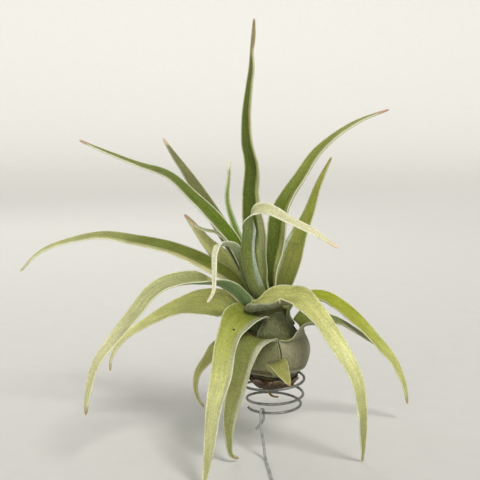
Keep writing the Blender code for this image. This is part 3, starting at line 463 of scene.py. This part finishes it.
def blade_rows(leaf, rows, marks):
    """The middle surface of a blade, as rows of points from the root to the tip. marks holds the places of
    the points of a row, from -1 at one rim to 1 at the other."""
    rooted = leaf.root[0] != "wrap"
    azimuth, span = root_turn(leaf)
    knots = []
    if rooted:
        for share in (0, 0.5, 1):
            radius, height = root_radius(leaf, share)
            chord = 2 * radius * sin(radians(span) / 2)
            knots.append((*around(radius, azimuth, height), chord))
    for across, up, depth, width in leaf.line:
        knots.append((*front(across, up, depth), width))
    fine = through(knots, LINE_STEPS, 3)
    place = fine[:, :3]
    length = lengths(place)
    way = np.gradient(place, axis=0)
    way /= np.linalg.norm(way, axis=1)[:, None]
    turns = np.arccos(np.clip(np.sum(way[1:] * way[:-1], axis=1), -1, 1))
    effort = length + np.concatenate(([0], np.cumsum(TURN_WEIGHT * turns)))
    places = np.interp(np.linspace(0, effort[-1], rows), effort, length)
    root_length = length[2 * LINE_STEPS] if rooted else 0
    toward = -turned(azimuth) if rooted else np.array(leaf.root[1])
    carried = [unit(toward - way[0] * np.dot(toward, way[0]))]
    for after in way[1:]:
        carried.append(unit(carried[-1] - after * np.dot(carried[-1], after)))
    carried = np.array(carried)
    twists = [(root_length, 0)]
    for share, look in leaf.faces:
        i = int(np.searchsorted(length, share * length[-1] - 1e-9))
        turn = atan2(np.dot(look, np.cross(way[i], carried[i])), np.dot(look, carried[i]))
        turn += 2 * pi * round((twists[-1][1] - turn) / 2 / pi)
        twists.append((length[i], turn))
    twists = np.array(twists)
    first = leaf.fold[2] if len(leaf.fold) > 2 else max(span, LEAST_SPAN)
    folds = (first, leaf.fold[0], leaf.fold[1])
    result = []
    for s in places:
        centre = between(s, length, place)
        tangent = unit(between(s, length, way))
        width = np.interp(s, length, fine[:, 3])
        base = between(s, length, carried)
        base = unit(base - tangent * np.dot(base, tangent))
        twist = np.interp(s, twists[:, 0], twists[:, 1])
        face = base * cos(twist) + np.cross(tangent, base) * sin(twist)
        side = np.cross(tangent, face)
        beyond = max(0, (s - root_length) / (length[-1] - root_length))
        half = radians(np.interp(beyond, (0, FOLD_MIDDLE, 1), folds)) / 2
        radius = max(width, TIP_WIDTH) / 2 / sin(half)
        # The root lies round the axis. Past it the blade takes its own channel.
        hold = 1 - smooth((s - root_length) / ROOT_FADE) if rooted else 0
        row = []
        for u in marks:
            free = centre + side * radius * sin(u * half) + face * radius * (1 - cos(u * half))
            if hold > 0:
                ring, height = root_radius(leaf, min(1, s / root_length))
                bound = around(ring, azimuth - u * span / 2, height)
                if s > root_length:
                    bound = bound + centre - around(ring, azimuth, height)
                free = bound * hold + free * (1 - hold)
            row.append(free)
        result.append(row)
    return np.array(result)


def coil_place(angle):
    radius, height = between(angle, COIL_LINE[:, 0], COIL_LINE[:, 1:])
    return np.array((COIL_X, 0, height)) + radius * turned(angle)


def hook_line():
    """From the short tail up over the coil's lowest turn, down to the surface and along it."""
    top = coil_place(HOOK_AZIMUTH)
    out = turned(HOOK_AZIMUTH)
    up = np.array((0, 0, 1))
    knots = [np.array(TAIL_END), top - out * HOOK_BEND - up * 5]
    for turn in np.radians(np.linspace(180, 0, 7)):
        knots.append(top + HOOK_BEND * (out * cos(turn) + up * sin(turn)))
    foot = np.array(LEG_FOOT)
    end = np.array(LEG_END)
    knots.append(knots[-1] - up * 3)
    first = foot - unit(foot - knots[-1]) * FOOT_BEND
    last = foot + unit(end - foot) * FOOT_BEND
    for share in (0, 0.25, 0.5, 0.75, 1):
        knots.append((1 - share) ** 2 * first + 2 * share * (1 - share) * foot + share**2 * last)
    knots += [(last + end) / 2, end]
    line = through(knots, 2, 3)
    line[:, 2] = np.maximum(line[:, 2], WIRE_RADIUS)
    return line


# Places of the points across a blade, closer together at its rims, and the rows along it
HALF_MARKS = (0.21, 0.42, 0.61, 0.76, 0.87, 0.94, 0.985, 1)
MARKS = (*(-u for u in reversed(HALF_MARKS)), 0, *HALF_MARKS)
FINE_ROWS = 120
# A blade's rim is rounded from this place outward, and its tip over this length down to this share.
RIM_ROUND = 0.88
TIP_ROUND = 2.2
TIP_SHARE = 0.12
# How far the rims swing, where along the blade that sets in, and the least width for all of it. Each
# wave has its turns for a millimetre, its place in the noise and its share.
SWING = 0.64
SWING_FROM = (24, 50)
SWING_WIDTH = 8
SWINGS = ((0.055, 0, 1), (0.14, 40, 0.5))
# A leaf is darker near its root, by this share and between these lengths.
ROOT_SHADE = 0.14
ROOT_LIT = (6, 34)
STRIP_COVER = 0.85
# Width of the pale line along a rim, and where along the blade it grows to its full strength
MARGIN = (0.12, 0.62)
MARGIN_FROM = (14, 30)
# The low right leaf: the pale foot of its sheath and the dark line over it
FOOT_RIM = (0.5, 1.6)
FOOT_LINE = (2.4, 0.9)
# A brown scar crosses the leaf at the back right: its place, and where across the blade it ends.
CROSS_MARK = (45, 0.5)
CROSS_END = 0.35
# Steps of the grain between two leaves and between the two faces of one
GRAIN_LEAF = 31
GRAIN_FACE = 8
# A dark dot on the inner face of the long front leaf, which is number 12, as a place of its grain
DARK_DOT = (-0.2, 37.5, 12 * GRAIN_LEAF + GRAIN_FACE)

# Bulb: the fine mesh, and the margins of old sheaths that cross it as azimuth and height.
BULB_TURNS = 288
BULB_RISES = 150
OLD_MARGIN = np.array((
    (-180, 57), (-140, 54), (-104, 54.6), (-84, 57.4), (-60, 55), (0, 53), (90, 57), (180, 57),
))
LOW_MARGIN = np.array((
    (-180, 48), (-120, 49.4), (-90, 48.6), (-50, 50), (40, 47.6), (120, 49.6), (180, 48),
))
SHIELD_GRAIN = 55

# Husk: the cup's turns and roughness, and its torn scales, which stand in rings of three heights.
CUP_TURNS = 144
CUP_ROUGH = 0.18
SCALES = 26
SCALE_LAYERS = 3
SCALE_ROWS = 12
SCALE_COLUMNS = 9
SCALE_HALF = 0.17

# Floor that rises all round into a low wall, in metres
FLOOR_RADIUS = 2.4
FLOOR_BEND = 1.4
FLOOR_WALL = 2.2


def colour(code):
    """The linear colour of a hex code."""
    values = [int(code[i : i + 2], 16) / 255 for i in (0, 2, 4)]
    return np.array([v / 12.92 if v <= 0.04045 else ((v + 0.055) / 1.055) ** 2.4 for v in values])


def along(codes, share):
    """The colour at this share of the way from the first code to the last."""
    table = [colour(c) for c in codes.split()]
    return between(share, np.linspace(0, 1, len(table)), table)


def blend(first, second, share):
    """A tone on its way to a second one. Either may be a hex code."""
    first, second = (colour(t) if isinstance(t, str) else t for t in (first, second))
    return first * (1 - share) + second * share


def bell(value, centre, width):
    return exp(-(((value - centre) / width) ** 2))


def wander(x, y, z):
    return noise.noise(Vector((x, y, z)))


def piece(name, spots, faces, material, node, slot):
    """A mesh on the body. Each spot is a point in millimetres, its colour or None, and its grain place."""
    points, tints, grain = zip(*spots)
    mesh = bpy.data.meshes.new(name)
    mesh.from_pydata([tuple((np.array(p) + FRAME_SHIFT) * MM) for p in points], [], faces)
    mesh.update()
    if tints[0] is not None:
        layer = mesh.attributes.new("tint", "FLOAT_COLOR", "POINT")
        layer.data.foreach_set("color", np.insert(tints, 3, 1, axis=1).ravel())
    layer = mesh.attributes.new("grain", "FLOAT_VECTOR", "POINT")
    layer.data.foreach_set("vector", np.array(grain, dtype=float).ravel())
    shape = bmesh.new()
    shape.from_mesh(mesh)
    bmesh.ops.recalc_face_normals(shape, faces=shape.faces)
    shape.to_mesh(mesh)
    shape.free()
    mesh.shade_smooth()
    made = bpy.data.objects.new(name, mesh)
    bpy.context.scene.collection.objects.link(made)
    mesh.materials.append(material)
    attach(made, "root")
    if node:
        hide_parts(node)


class Paint:
    """One node material round a Principled shader."""

    def __init__(self, name, roughness, specular=0.3, metallic=0, sheen=0):
        self.material = bpy.data.materials.new(name)
        self.material.use_nodes = True
        self.nodes = self.material.node_tree.nodes
        self.links = self.material.node_tree.links
        self.shader = self.nodes["Principled BSDF"]
        self.shader.inputs["Roughness"].default_value = roughness
        self.shader.inputs["Specular IOR Level"].default_value = specular
        self.shader.inputs["Metallic"].default_value = metallic
        self.shader.inputs["Sheen Weight"].default_value = sheen
        self.shader.inputs["Sheen Roughness"].default_value = 0.5
        self.shader.inputs["Sheen Tint"].default_value = (0.9, 0.93, 0.85, 1)

    def put(self, kind, values, output=0, **settings):
        node = self.nodes.new(kind)
        for name, value in settings.items():
            setattr(node, name, value)
        for key, value in values.items():
            if isinstance(value, bpy.types.NodeSocket):
                self.links.new(value, node.inputs[key])
            else:
                node.inputs[key].default_value = value
        return node.outputs[output]

    def attribute(self, name, output):
        return self.put("ShaderNodeAttribute", {}, output, attribute_name=name)

    def place(self):
        return self.put("ShaderNodeTexCoord", {}, "Object")

    def stretch(self, vector, scale):
        return self.put("ShaderNodeVectorMath", {0: vector, 1: scale}, operation="MULTIPLY")

    def noise(self, vector, scale, detail=3, rough=0.55):
        """Noise at one scale, or at one for each axis."""
        if isinstance(scale, tuple):
            vector, scale = self.stretch(vector, scale), 1
        values = {"Vector": vector, "Scale": scale, "Detail": detail, "Roughness": rough}
        return self.put("ShaderNodeTexNoise", values)

    def cells(self, vector, scale):
        values = {"Vector": self.stretch(vector, scale), "Scale": 1}
        return self.put("ShaderNodeTexVoronoi", values, "Distance")

    def span(self, value, low, high, first, last):
        values = {"Value": value, "From Min": low, "From Max": high, "To Min": first, "To Max": last}
        return self.put("ShaderNodeMapRange", values)

    def weigh(self, first, first_share, second, second_share):
        """The sum of two values, each times its share."""
        parts = ((first, first_share), (second, second_share))
        scaled = [self.put("ShaderNodeMath", {0: v, 1: s}, operation="MULTIPLY") for v, s in parts]
        return self.put("ShaderNodeMath", {0: scaled[0], 1: scaled[1]}, operation="ADD")

    def mix(self, share, first, second, mode="MIX"):
        """A colour mixed with a second one. Either may be a hex code."""
        first, second = ((*colour(c), 1) if isinstance(c, str) else c for c in (first, second))
        values = {0: share, 6: first, 7: second}
        return self.put("ShaderNodeMix", values, 2, data_type="RGBA", blend_type=mode)

    def shade(self, base, *greys):
        """The colour times a grey for each value from 0 to 1, given with its lowest and highest grey."""
        for value, low, high in greys:
            grey = self.span(value, 0.3, 0.7, low, high)
            grey = self.put("ShaderNodeCombineColor", {0: grey, 1: grey, 2: grey})
            base = self.mix(1, base, grey, "MULTIPLY")
        return base

    def done(self, base, height=None, strength=0.3, distance=0.0003, roughness=None):
        self.links.new(base, self.shader.inputs["Base Color"])
        if roughness is not None:
            self.links.new(roughness, self.shader.inputs["Roughness"])
        if height is not None:
            bump = self.put("ShaderNodeBump", {"Height": height, "Strength": strength, "Distance": distance})
            self.links.new(bump, self.shader.inputs["Normal"])
        return self.material


def leaf_material():
    """Streaks, clouds and specks over the leaf's own tint, with a dust of pale scales."""
    paint = Paint("leaf_skin", 0.58, 0.26, 0, 0.05)
    tint = paint.attribute("tint", "Color")
    grain = paint.attribute("grain", "Vector")
    streak = paint.noise(grain, (1.3, 0.05, 1), 4)
    broad = paint.noise(grain, (0.55, 0.03, 1), 2)
    cloud = paint.noise(grain, (0.2, 0.09, 1))
    speck = paint.noise(grain, (0.95, 0.6, 1), 4, 0.75)
    base = paint.shade(tint, (streak, 0.84, 1.14), (broad, 0.94, 1.06), (cloud, 0.88, 1.12))
    base = paint.shade(base, (speck, 0.76, 1.24))
    dust = paint.span(paint.cells(grain, (1.25, 0.85, 1)), 0.05, 0.4, 0.3, 0)
    pale = paint.mix(1, tint, (1.9, 1.85, 1.9, 1), "MULTIPLY")
    base = paint.mix(dust, base, paint.mix(0.45, pale, "ccd0a8"))
    near = paint.put("ShaderNodeVectorMath", {0: grain, 1: DARK_DOT}, 1, operation="DISTANCE")
    base = paint.mix(paint.span(near, 0.55, 0.85, 0.95, 0), base, "1c180c")
    height = paint.weigh(streak, 0.8, speck, 0.5)
    return paint.done(base, height, 0.4, 0.0004, paint.span(speck, 0.3, 0.7, 0.5, 0.7))


def grid_faces(rows, columns, start=0, closed=False):
    faces = []
    for i in range(rows - 1):
        for k in range(columns if closed else columns - 1):
            a = start + i * columns + k
            b = start + i * columns + (k + 1) % columns
            faces.append((a, b, b + columns, a + columns))
    return faces


def upward(rows):
    """The way out of the inner face at each point of a grid."""
    up = np.cross(np.gradient(rows, axis=1), np.gradient(rows, axis=0))
    return up / np.linalg.norm(up, axis=2)[:, :, None]


def wave(rows, reach, up, number):
    """Lets the rims of a blade swing a little out of line past its root."""
    for i, row in enumerate(rows):
        free = ramp(reach[i], *SWING_FROM) * min(1, np.linalg.norm(row[-1] - row[0]) / SWING_WIDTH)
        for k, u in enumerate(MARKS):
            rim_place = 3 if u > 0 else 9
            swing = sum(s * wander(reach[i] * turns, 7.3 * number + p, rim_place) for turns, p, s in SWINGS)
            row[k] += up[i, k] * swing * SWING * free * abs(u) ** 1.6


def shell(name, rows, up, half_of, tint_of, grain_of, material, node, slot, stands=False):
    """A closed blade on both sides of a grid of points. Its two faces meet at the rims of each row."""
    count, columns = rows.shape[:2]
    spots = []
    for side in (1, -1):
        for i in range(count):
            for k in range(columns):
                point = rows[i, k] + up[i, k] * half_of(i, k) * side
                spots.append((point, tint_of(side, i, k), grain_of(side, i, k)))
    size = count * columns
    faces = grid_faces(count, columns)
    faces += [tuple(reversed(f)) for f in grid_faces(count, columns, size)]
    for k in range(columns - 1):
        last = (count - 1) * columns + k
        faces += [(k, k + size, k + 1 + size, k + 1), (last, last + 1, last + 1 + size, last + size)]
    same = {size + i * columns + k: i * columns + k for i in range(count) for k in (0, columns - 1)}
    faces = [tuple(dict.fromkeys(same.get(v, v) for v in f)) for f in faces]
    kept = sorted({v for f in faces for v in f})
    index = {v: n for n, v in enumerate(kept)}
    faces = [tuple(index[v] for v in f) for f in faces if len(f) > 2]
    spots = [spots[v] for v in kept]
    if stands:
        lowest = min(spot[0][2] for spot in spots)
        for point, _, _ in spots:
            point[2] -= lowest * smooth(1 - (point[2] - lowest) / SETTLE_HEIGHT)
    piece(name, spots, faces, material, node, slot)


def rim(u):
    """Share of the thickness that is left near a rounded rim."""
    edge = max(0, (abs(u) - RIM_ROUND) / (1 - RIM_ROUND))
    return sqrt(max(0, 1 - edge * edge))


def blade(number, leaf, material):
    """One leaf with its waves, its round tip and its colours."""
    rows = blade_rows(leaf, FINE_ROWS, MARKS)
    middle = rows[:, len(MARKS) // 2].copy()
    reach = lengths(middle)
    up = upward(rows)
    wave(rows, reach, up, number)
    inner, outer, margin, tip, tip_share = leaf.skin
    left = np.minimum(1, (reach[-1] - reach) / TIP_ROUND)
    close = np.maximum(TIP_SHARE, np.sqrt(1 - (1 - left) ** 2))
    rows = middle[:, None] + (rows - middle[:, None]) * close[:, None, None]
    half = np.linalg.norm(rows[:, -1] - rows[:, 0], axis=1) / 2

    def half_of(i, k):
        thick = RIM_SHARE + (1 - RIM_SHARE) * (1 - MARKS[k] ** 2)
        return 0.5 * leaf.thickness * thick * rim(MARKS[k]) * close[i]

    def tint_of(side, i, k):
        share = reach[i] / reach[-1]
        u = MARKS[k]
        tone = along(inner if side > 0 else outer, share)
        tone = tone * (1 - ROOT_SHADE + ROOT_SHADE * ramp(reach[i], *ROOT_LIT))
        # The strip along one rim; on some leaves it is painted light, a lit half of the blade or a
        # highlight.
        if leaf.strip:
            turn, edges, codes, start, stop = leaf.strip
            edge = np.interp(share, (0, 0.5, 1), edges)
            inside = ramp(turn * u, edge - 0.07, edge + 0.1)
            inside *= ramp(share, start, start + 0.05) * (1 - ramp(share, stop, stop + 0.06))
            tone = blend(tone, along(codes, share), STRIP_COVER * inside)
        if leaf.name == "right_low":
            tone = tone * (1 - 0.45 * bell(reach[i], *FOOT_LINE))
            tone = blend(tone, "a3a488", 1 - ramp(reach[i], *FOOT_RIM))
        if leaf.name == "right_back" and u < CROSS_END:
            tone = tone * (1 - 0.55 * bell(reach[i], *CROSS_MARK))
        pale = (1 - ramp((1 - abs(u)) * half[i], *MARGIN)) * (0.3 + 0.7 * ramp(reach[i], *MARGIN_FROM))
        tone = blend(tone, margin, pale)
        return blend(tone, tip, ramp(share, 1 - tip_share * 1.3, 1 - tip_share * 0.6))

    def grain_of(side, i, k):
        return (MARKS[k] * half[i], reach[i], number * GRAIN_LEAF + side * GRAIN_FACE)

    node = "leaf_" + leaf.name
    shell(node + "_skin", rows, up, half_of, tint_of, grain_of, material, node, leaf.colour, leaf.stands)


def tube(name, line, radii, material, node, slot, sides, tint=None):
    """A round wire or root with round ends, along a smooth line."""
    line = np.array(line)
    radii = np.broadcast_to(np.array(radii, dtype=float), len(line))
    step = np.gradient(line, axis=0)
    step /= np.linalg.norm(step, axis=1)[:, None]
    first = unit(np.cross(step[0], (0.3, 0.2, 1)))
    tint = tint and colour(tint)
    spots = []
    reach = lengths(line)
    for i, place in enumerate(line):
        first = unit(first - step[i] * np.dot(first, step[i]))
        second = np.cross(step[i], first)
        for k in range(sides):
            turn = 2 * pi * k / sides
            point = place + (first * cos(turn) + second * sin(turn)) * radii[i]
            spots.append((point, tint, (k * 0.4, reach[i], 0)))
    faces = grid_faces(len(line), sides, 0, True)
    start = len(spots)
    for i, way in ((0, -0.5), (-1, 0.5)):
        spots.append((line[i] + step[i] * radii[i] * way, tint, (0, reach[i], 0)))
    end = (len(line) - 1) * sides
    for k in range(sides):
        n = (k + 1) % sides
        faces += [(start, n, k), (start + 1, end + k, end + n)]
    piece(name, spots, faces, material, node, slot)


def over_margin(table, azimuth, height):
    """How far a place of the bulb lies over an old sheath's margin."""
    return height - np.interp(azimuth, table[:, 0], table[:, 1])


def bulb_place(azimuth, height):
    """A point of the bulb's skin, with the low steps where an older sheath ends under a newer one."""
    x, y = turned(azimuth)[:2] * 2.2
    swell = 0.16 * wander(x, y, height * 0.1) - 0.05
    for table, depth in ((OLD_MARGIN, 0.42), (LOW_MARGIN, 0.4)):
        over = over_margin(table, azimuth, height)
        swell -= depth * (1 - smooth((over + 0.45) / 0.9)) * exp(-max(0, -over) / 7)
    return around(bulb_radius(height) + swell, azimuth, height)


def bulb_tint(azimuth, height):
    tone = blend("5c5634", "78754c", ramp(height, 48, 58))
    tone = blend(tone, "6c6b50", ramp(azimuth, -88, -60))
    tone = blend(tone, "48431f", 0.7 * ramp(-azimuth, 96, 118) * (1 - ramp(height, 56, 66)))
    tone = blend(tone, "6a6a2e", 0.8 * ramp(height, 71, 76))
    tone = blend(tone, "94824e", 0.85 * ramp(-azimuth, 104, 118) * ramp(height, 68, 73))
    for table in (OLD_MARGIN, LOW_MARGIN):
        over = over_margin(table, azimuth, height)
        tone = blend(tone, "a3a083", 0.75 * bell(over, 0.5, 0.45))
        tone = blend(tone, "2b2718", 0.8 * bell(over, -0.7, 0.5))
    return blend(tone, "4a3a22", 1 - ramp(height, 42, 50))


def bulb(material):
    heights = np.linspace(BULB_FOOT, BULB_TOP, BULB_RISES)
    spots = []
    for height in heights:
        for k in range(BULB_TURNS):
            azimuth = 360 * k / BULB_TURNS - 180
            x, y = turned(azimuth)[:2] * 20
            spots.append((bulb_place(azimuth, height), bulb_tint(azimuth, height), (x, height, y)))
    faces = grid_faces(BULB_RISES, BULB_TURNS, 0, True)
    for height, first in ((heights[0], 0), (heights[-1], (BULB_RISES - 1) * BULB_TURNS)):
        centre = len(spots)
        spots.append((around(0, 0, height), spots[first][1], (0, height, 0)))
        faces += [(centre, first + k, first + (k + 1) % BULB_TURNS) for k in range(BULB_TURNS)]
    piece("bulb_skin", spots, faces, material, "bulb_core", "bulb")


def shield(material):
    """The sheath that lies over the upper front of the bulb, round at its top."""
    shares = np.concatenate((np.linspace(0, 0.9, 40), np.linspace(0.91, 1, 14)))
    low, high = UPPER_SHEATH
    rows = []
    for share in shares:
        first, last = between(share, SHIELD[:, 0], SHIELD[:, 1:])
        radius, place = skin(low + share * (high - low), upper_lift(share))
        rows.append([around(radius, first + (last - first) * (1 + u) / 2, place) for u in MARKS])
    rows = np.array(rows)

    def half_of(i, k):
        thick = 0.75 + 0.25 * (1 - MARKS[k] ** 2)
        return 0.5 * UPPER_SHEATH_THICKNESS * thick * rim(MARKS[k]) * rim(shares[i])

    def tint_of(side, i, k):
        tone = blend("545730", "61643f", ramp(shares[i], 0.1, 0.8))
        tone = blend(tone, "525230", 0.6 * ramp(MARKS[k], 0.2, 0.9))
        edge = max(ramp(abs(MARKS[k]), 0.86, 0.97), ramp(shares[i], 0.93, 1))
        return blend(tone, "a4a684", 0.7 * edge)

    def grain_of(side, i, k):
        return (MARKS[k] * 14, shares[i] * 14, SHIELD_GRAIN + side * GRAIN_FACE)

    name = "sheath_upper_skin"
    shell(name, rows, -upward(rows), half_of, tint_of, grain_of, material, "sheath_upper", "bulb")


def husk_cup(material):
    """The dry cup round the foot of the bulb."""
    spots = []
    heights = np.linspace(BULB_FOOT, HUSK_TOP, 16)[1:]
    floor_top = BULB_FOOT - SEAT_GAP
    profile = [(0.3, floor_top - HUSK_THICKNESS), (BULB_FOOT_RADIUS - 0.5, floor_top - HUSK_THICKNESS)]
    profile += [skin(z, HUSK_GAP + HUSK_THICKNESS) for z in heights]
    profile += [skin(z, HUSK_GAP) for z in heights[::-1]]
    profile += [(BULB_FOOT_RADIUS, floor_top), (0.3, floor_top)]
    for radius, height in profile:
        for k in range(CUP_TURNS):
            azimuth = 360 * k / CUP_TURNS
            x, y = turned(azimuth)[:2]
            rough = wander(x * 6, y * 6, height * 0.6)
            torn = height + 0.5 * rough * ramp(height, 42, 46)
            point = around(radius + CUP_ROUGH * rough, azimuth, torn)
            tint = blend("3d2c1a", "6a4c2e", 0.5 + rough)
            spots.append((point, tint, (radius * x, height, radius * y)))
    last = (len(profile) - 1) * CUP_TURNS
    faces = grid_faces(len(profile), CUP_TURNS, 0, True)
    faces += [tuple(range(CUP_TURNS)), tuple(range(last, last + CUP_TURNS))]
    piece("husk_cup", spots, faces, material, "base_husk", "husk")


def husk_scales(material):
    """The torn scales that stand on the cup, thin at their edges."""
    spots = []
    faces = []
    for n in range(SCALES):
        azimuth = 360 * n / SCALES + 9 * wander(n * 3.1, 0, 5)
        low = 40.6 + 1.6 * (n % SCALE_LAYERS)
        tall = 5.2 + 2.4 * wander(n * 2.3, 4, 1)
        wide = 15 + 5 * wander(n * 1.7, 9, 2)
        lift = HUSK_GAP + HUSK_THICKNESS + 0.25 + 0.22 * (n % SCALE_LAYERS)
        start = len(spots)
        for side in (SCALE_HALF, -SCALE_HALF):
            for share in np.arange(SCALE_ROWS) / (SCALE_ROWS - 1):
                narrow = (1 - share**2.4) ** 0.6 * 0.95 + 0.05
                for u in np.linspace(-1, 1, SCALE_COLUMNS):
                    torn = wander(n * 5, u * 2.6, share * 3)
                    edge = 1 - max(abs(u), share) ** 8
                    height = low + share * tall + 0.7 * torn * share
                    radius, height = skin(height, lift + 0.35 * share * share + 0.2 * torn + side * edge)
                    point = around(radius, azimuth + u * wide * narrow, height)
                    tone = blend("4a3520", "7d6546", ramp(share, 0.2, 0.8) * (0.6 + torn))
                    tone = blend(tone, "9c9280", ramp(share, 0.72, 0.98) * 0.7)
                    spots.append((point, tone, (u * 4 + n * 11, height, side * 10)))
        size = SCALE_ROWS * SCALE_COLUMNS
        faces += grid_faces(SCALE_ROWS, SCALE_COLUMNS, start)
        faces += [tuple(reversed(f)) for f in grid_faces(SCALE_ROWS, SCALE_COLUMNS, start + size)]
        grid = np.arange(start, start + size).reshape(SCALE_ROWS, SCALE_COLUMNS)
        ring = [int(v) for v in (*grid[0], *grid[1:, -1], *grid[-1, -2::-1], *grid[-2:0:-1, 0])]
        faces += [(a, b, b + size, a + size) for a, b in zip(ring, ring[1:] + ring[:1])]
    piece("husk_scales", spots, faces, material, None, "husk")


def skin_material(name, roughness, pale, spread, dark, bump):
    """A dull natural skin with pale specks and darker clouds over its own tint."""
    paint = Paint(name, roughness, 0.3, 0, 0.12)
    grain = paint.attribute("grain", "Vector")
    cloud = paint.noise(grain, (0.22, 0.16, 0.22))
    speck = paint.noise(grain, (1.3, 0.8, 1.3), 4, 0.7)
    line = paint.noise(grain, (1.6, 0.06, 1.6))
    base = paint.attribute("tint", "Color")
    base = paint.shade(base, (cloud, 1 - dark, 1 + dark), (line, 0.88, 1.12), (speck, 0.8, 1.2))
    dots = paint.cells(grain, (0.95, 0.7, 0.95))
    base = paint.mix(paint.span(dots, 0.05, 0.45, spread, 0), base, pale)
    return paint.done(base, paint.weigh(line, 0.6, speck, 0.7), bump, 0.0005)


def wire_material(name, light, dark, roughness, metallic):
    """Galvanised wire: a fine spangle, drawn lines along it and dull patches."""
    paint = Paint(name, roughness, 0.5, metallic)
    place = paint.place()
    patch = paint.noise(place, 260)
    fine = paint.noise(place, 1500, 4, 0.7)
    lines = paint.noise(paint.attribute("grain", "Vector"), (1.6, 0.12, 1))
    base = paint.mix(paint.span(patch, 0.35, 0.65, 0, 1), light, dark)
    base = paint.shade(base, (fine, 0.86, 1.14), (lines, 0.9, 1.1))
    rough = paint.span(patch, 0.3, 0.7, roughness - 0.1, roughness + 0.15)
    return paint.done(base, paint.weigh(fine, 1, lines, 1), 0.25, 0.0001, rough)


LEAF_SKIN = leaf_material()
for leaf_number, plant_leaf in enumerate(LEAVES):
    blade(leaf_number, plant_leaf, LEAF_SKIN)

BULB_SKIN = skin_material("bulb_skin", 0.6, "b0b29a", 0.28, 0.14, 0.4)
HUSK_SKIN = skin_material("husk_skin", 0.82, "8d8272", 0.14, 0.28, 0.7)
bulb(BULB_SKIN)
shield(BULB_SKIN)
husk_cup(HUSK_SKIN)
husk_scales(HUSK_SKIN)

root_line = through(ROOT_LINE, 14, 3)
root_radii = np.linspace(*ROOT_RADII, len(root_line))
tube("root_tendril_skin", root_line, root_radii, HUSK_SKIN, "root_tendril", "husk", 12, "8a7a3a")

DULL_WIRE = wire_material("dull_wire", "8e908a", "6b6b64", 0.46, 0.55)
BRIGHT_WIRE = wire_material("bright_wire", "b9bcba", "8f9392", 0.36, 0.7)
coil_line = [coil_place(a) for a in np.arange(COIL[0][0], COIL[-1][0] + 0.1, 3)]
tube("wire_coil_skin", coil_line, WIRE_RADIUS, DULL_WIRE, "wire_coil", "wire_dull", 18)
hook = through(hook_line(), 3, 3)
tube("wire_hook_skin", hook, WIRE_RADIUS, BRIGHT_WIRE, "wire_hook", "wire_bright", 18)

profile = [(r, 0) for r in (0.15, 0.5, 1.2, FLOOR_RADIUS)]
for bend in np.radians(np.arange(7.5, 91, 7.5)):
    profile.append((FLOOR_RADIUS + FLOOR_BEND * sin(bend), FLOOR_BEND * (1 - cos(bend))))
profile.append((FLOOR_RADIUS + FLOOR_BEND, FLOOR_BEND + FLOOR_WALL))
turns = np.radians(np.arange(0, 360, 5))
floor_points = [(r * cos(t), r * sin(t), z) for r, z in profile for t in turns]
floor_faces = [tuple(reversed(f)) for f in grid_faces(len(profile), len(turns), 0, True)]
floor_faces.append(tuple(range(len(turns))))
floor_mesh = bpy.data.meshes.new("floor")
floor_mesh.from_pydata(floor_points, [], floor_faces)
floor_mesh.shade_smooth()
floor = bpy.data.objects.new("floor", floor_mesh)
floor.visible_shadow = False
bpy.context.scene.collection.objects.link(floor)
floor_paint = Paint("floor_paper", 0.9, 0.1)
floor_base = floor_paint.mix(floor_paint.noise(floor_paint.place(), 60), "d3d2ce", "d9d8d4")
floor_mesh.materials.append(floor_paint.done(floor_base))


def lamp(name, kind, place, aim, size, power, tone):
    """A soft light that looks at this height of the axis. size is an area's diameter in metres or a sun's
    angle in degrees."""
    data = bpy.data.lights.new(name, kind)
    if kind == "SUN":
        data.angle = radians(size)
    else:
        data.shape = "DISK"
        data.size = size
    data.energy = power
    data.color = tone
    made = bpy.data.objects.new(name, data)
    made.location = place
    made.rotation_euler = (Vector((0, 0, aim)) - Vector(place)).to_track_quat("-Z", "Y").to_euler()
    bpy.context.scene.collection.objects.link(made)


lamp("key", "SUN", (0.45, -0.8, 1.1), 0.12, 18, 1.8, (1, 0.985, 0.95))
lamp("fill", "SUN", (-0.35, -1, 0.42), 0.12, 50, 1.3, (1, 1, 0.97))
lamp("back", "AREA", (-0.3, 1, 0.9), 0.14, 0.8, 3, (1, 1, 0.97))

world = bpy.data.worlds.new("studio")
world.use_nodes = True
world.node_tree.nodes["Background"].inputs["Color"].default_value = (0.87, 0.87, 0.86, 1)
world.node_tree.nodes["Background"].inputs["Strength"].default_value = 0.4
bpy.context.scene.world = world
bpy.context.scene.view_settings.view_transform = "Standard"

view = bpy.data.cameras.new("front_view")
view.sensor_width = 36
view.lens = 75
view.clip_start = 0.01
view.clip_end = 50
camera = bpy.data.objects.new("front_view", view)
camera.location = tuple((VIEW_CENTRE + FRAME_SHIFT + VIEW_DISTANCE * VIEW_BACK) * MM)
camera.rotation_euler = Vector(tuple(VIEW_BACK)).to_track_quat("Z", "Y").to_euler()
bpy.context.scene.collection.objects.link(camera)
bpy.context.scene.camera = camera
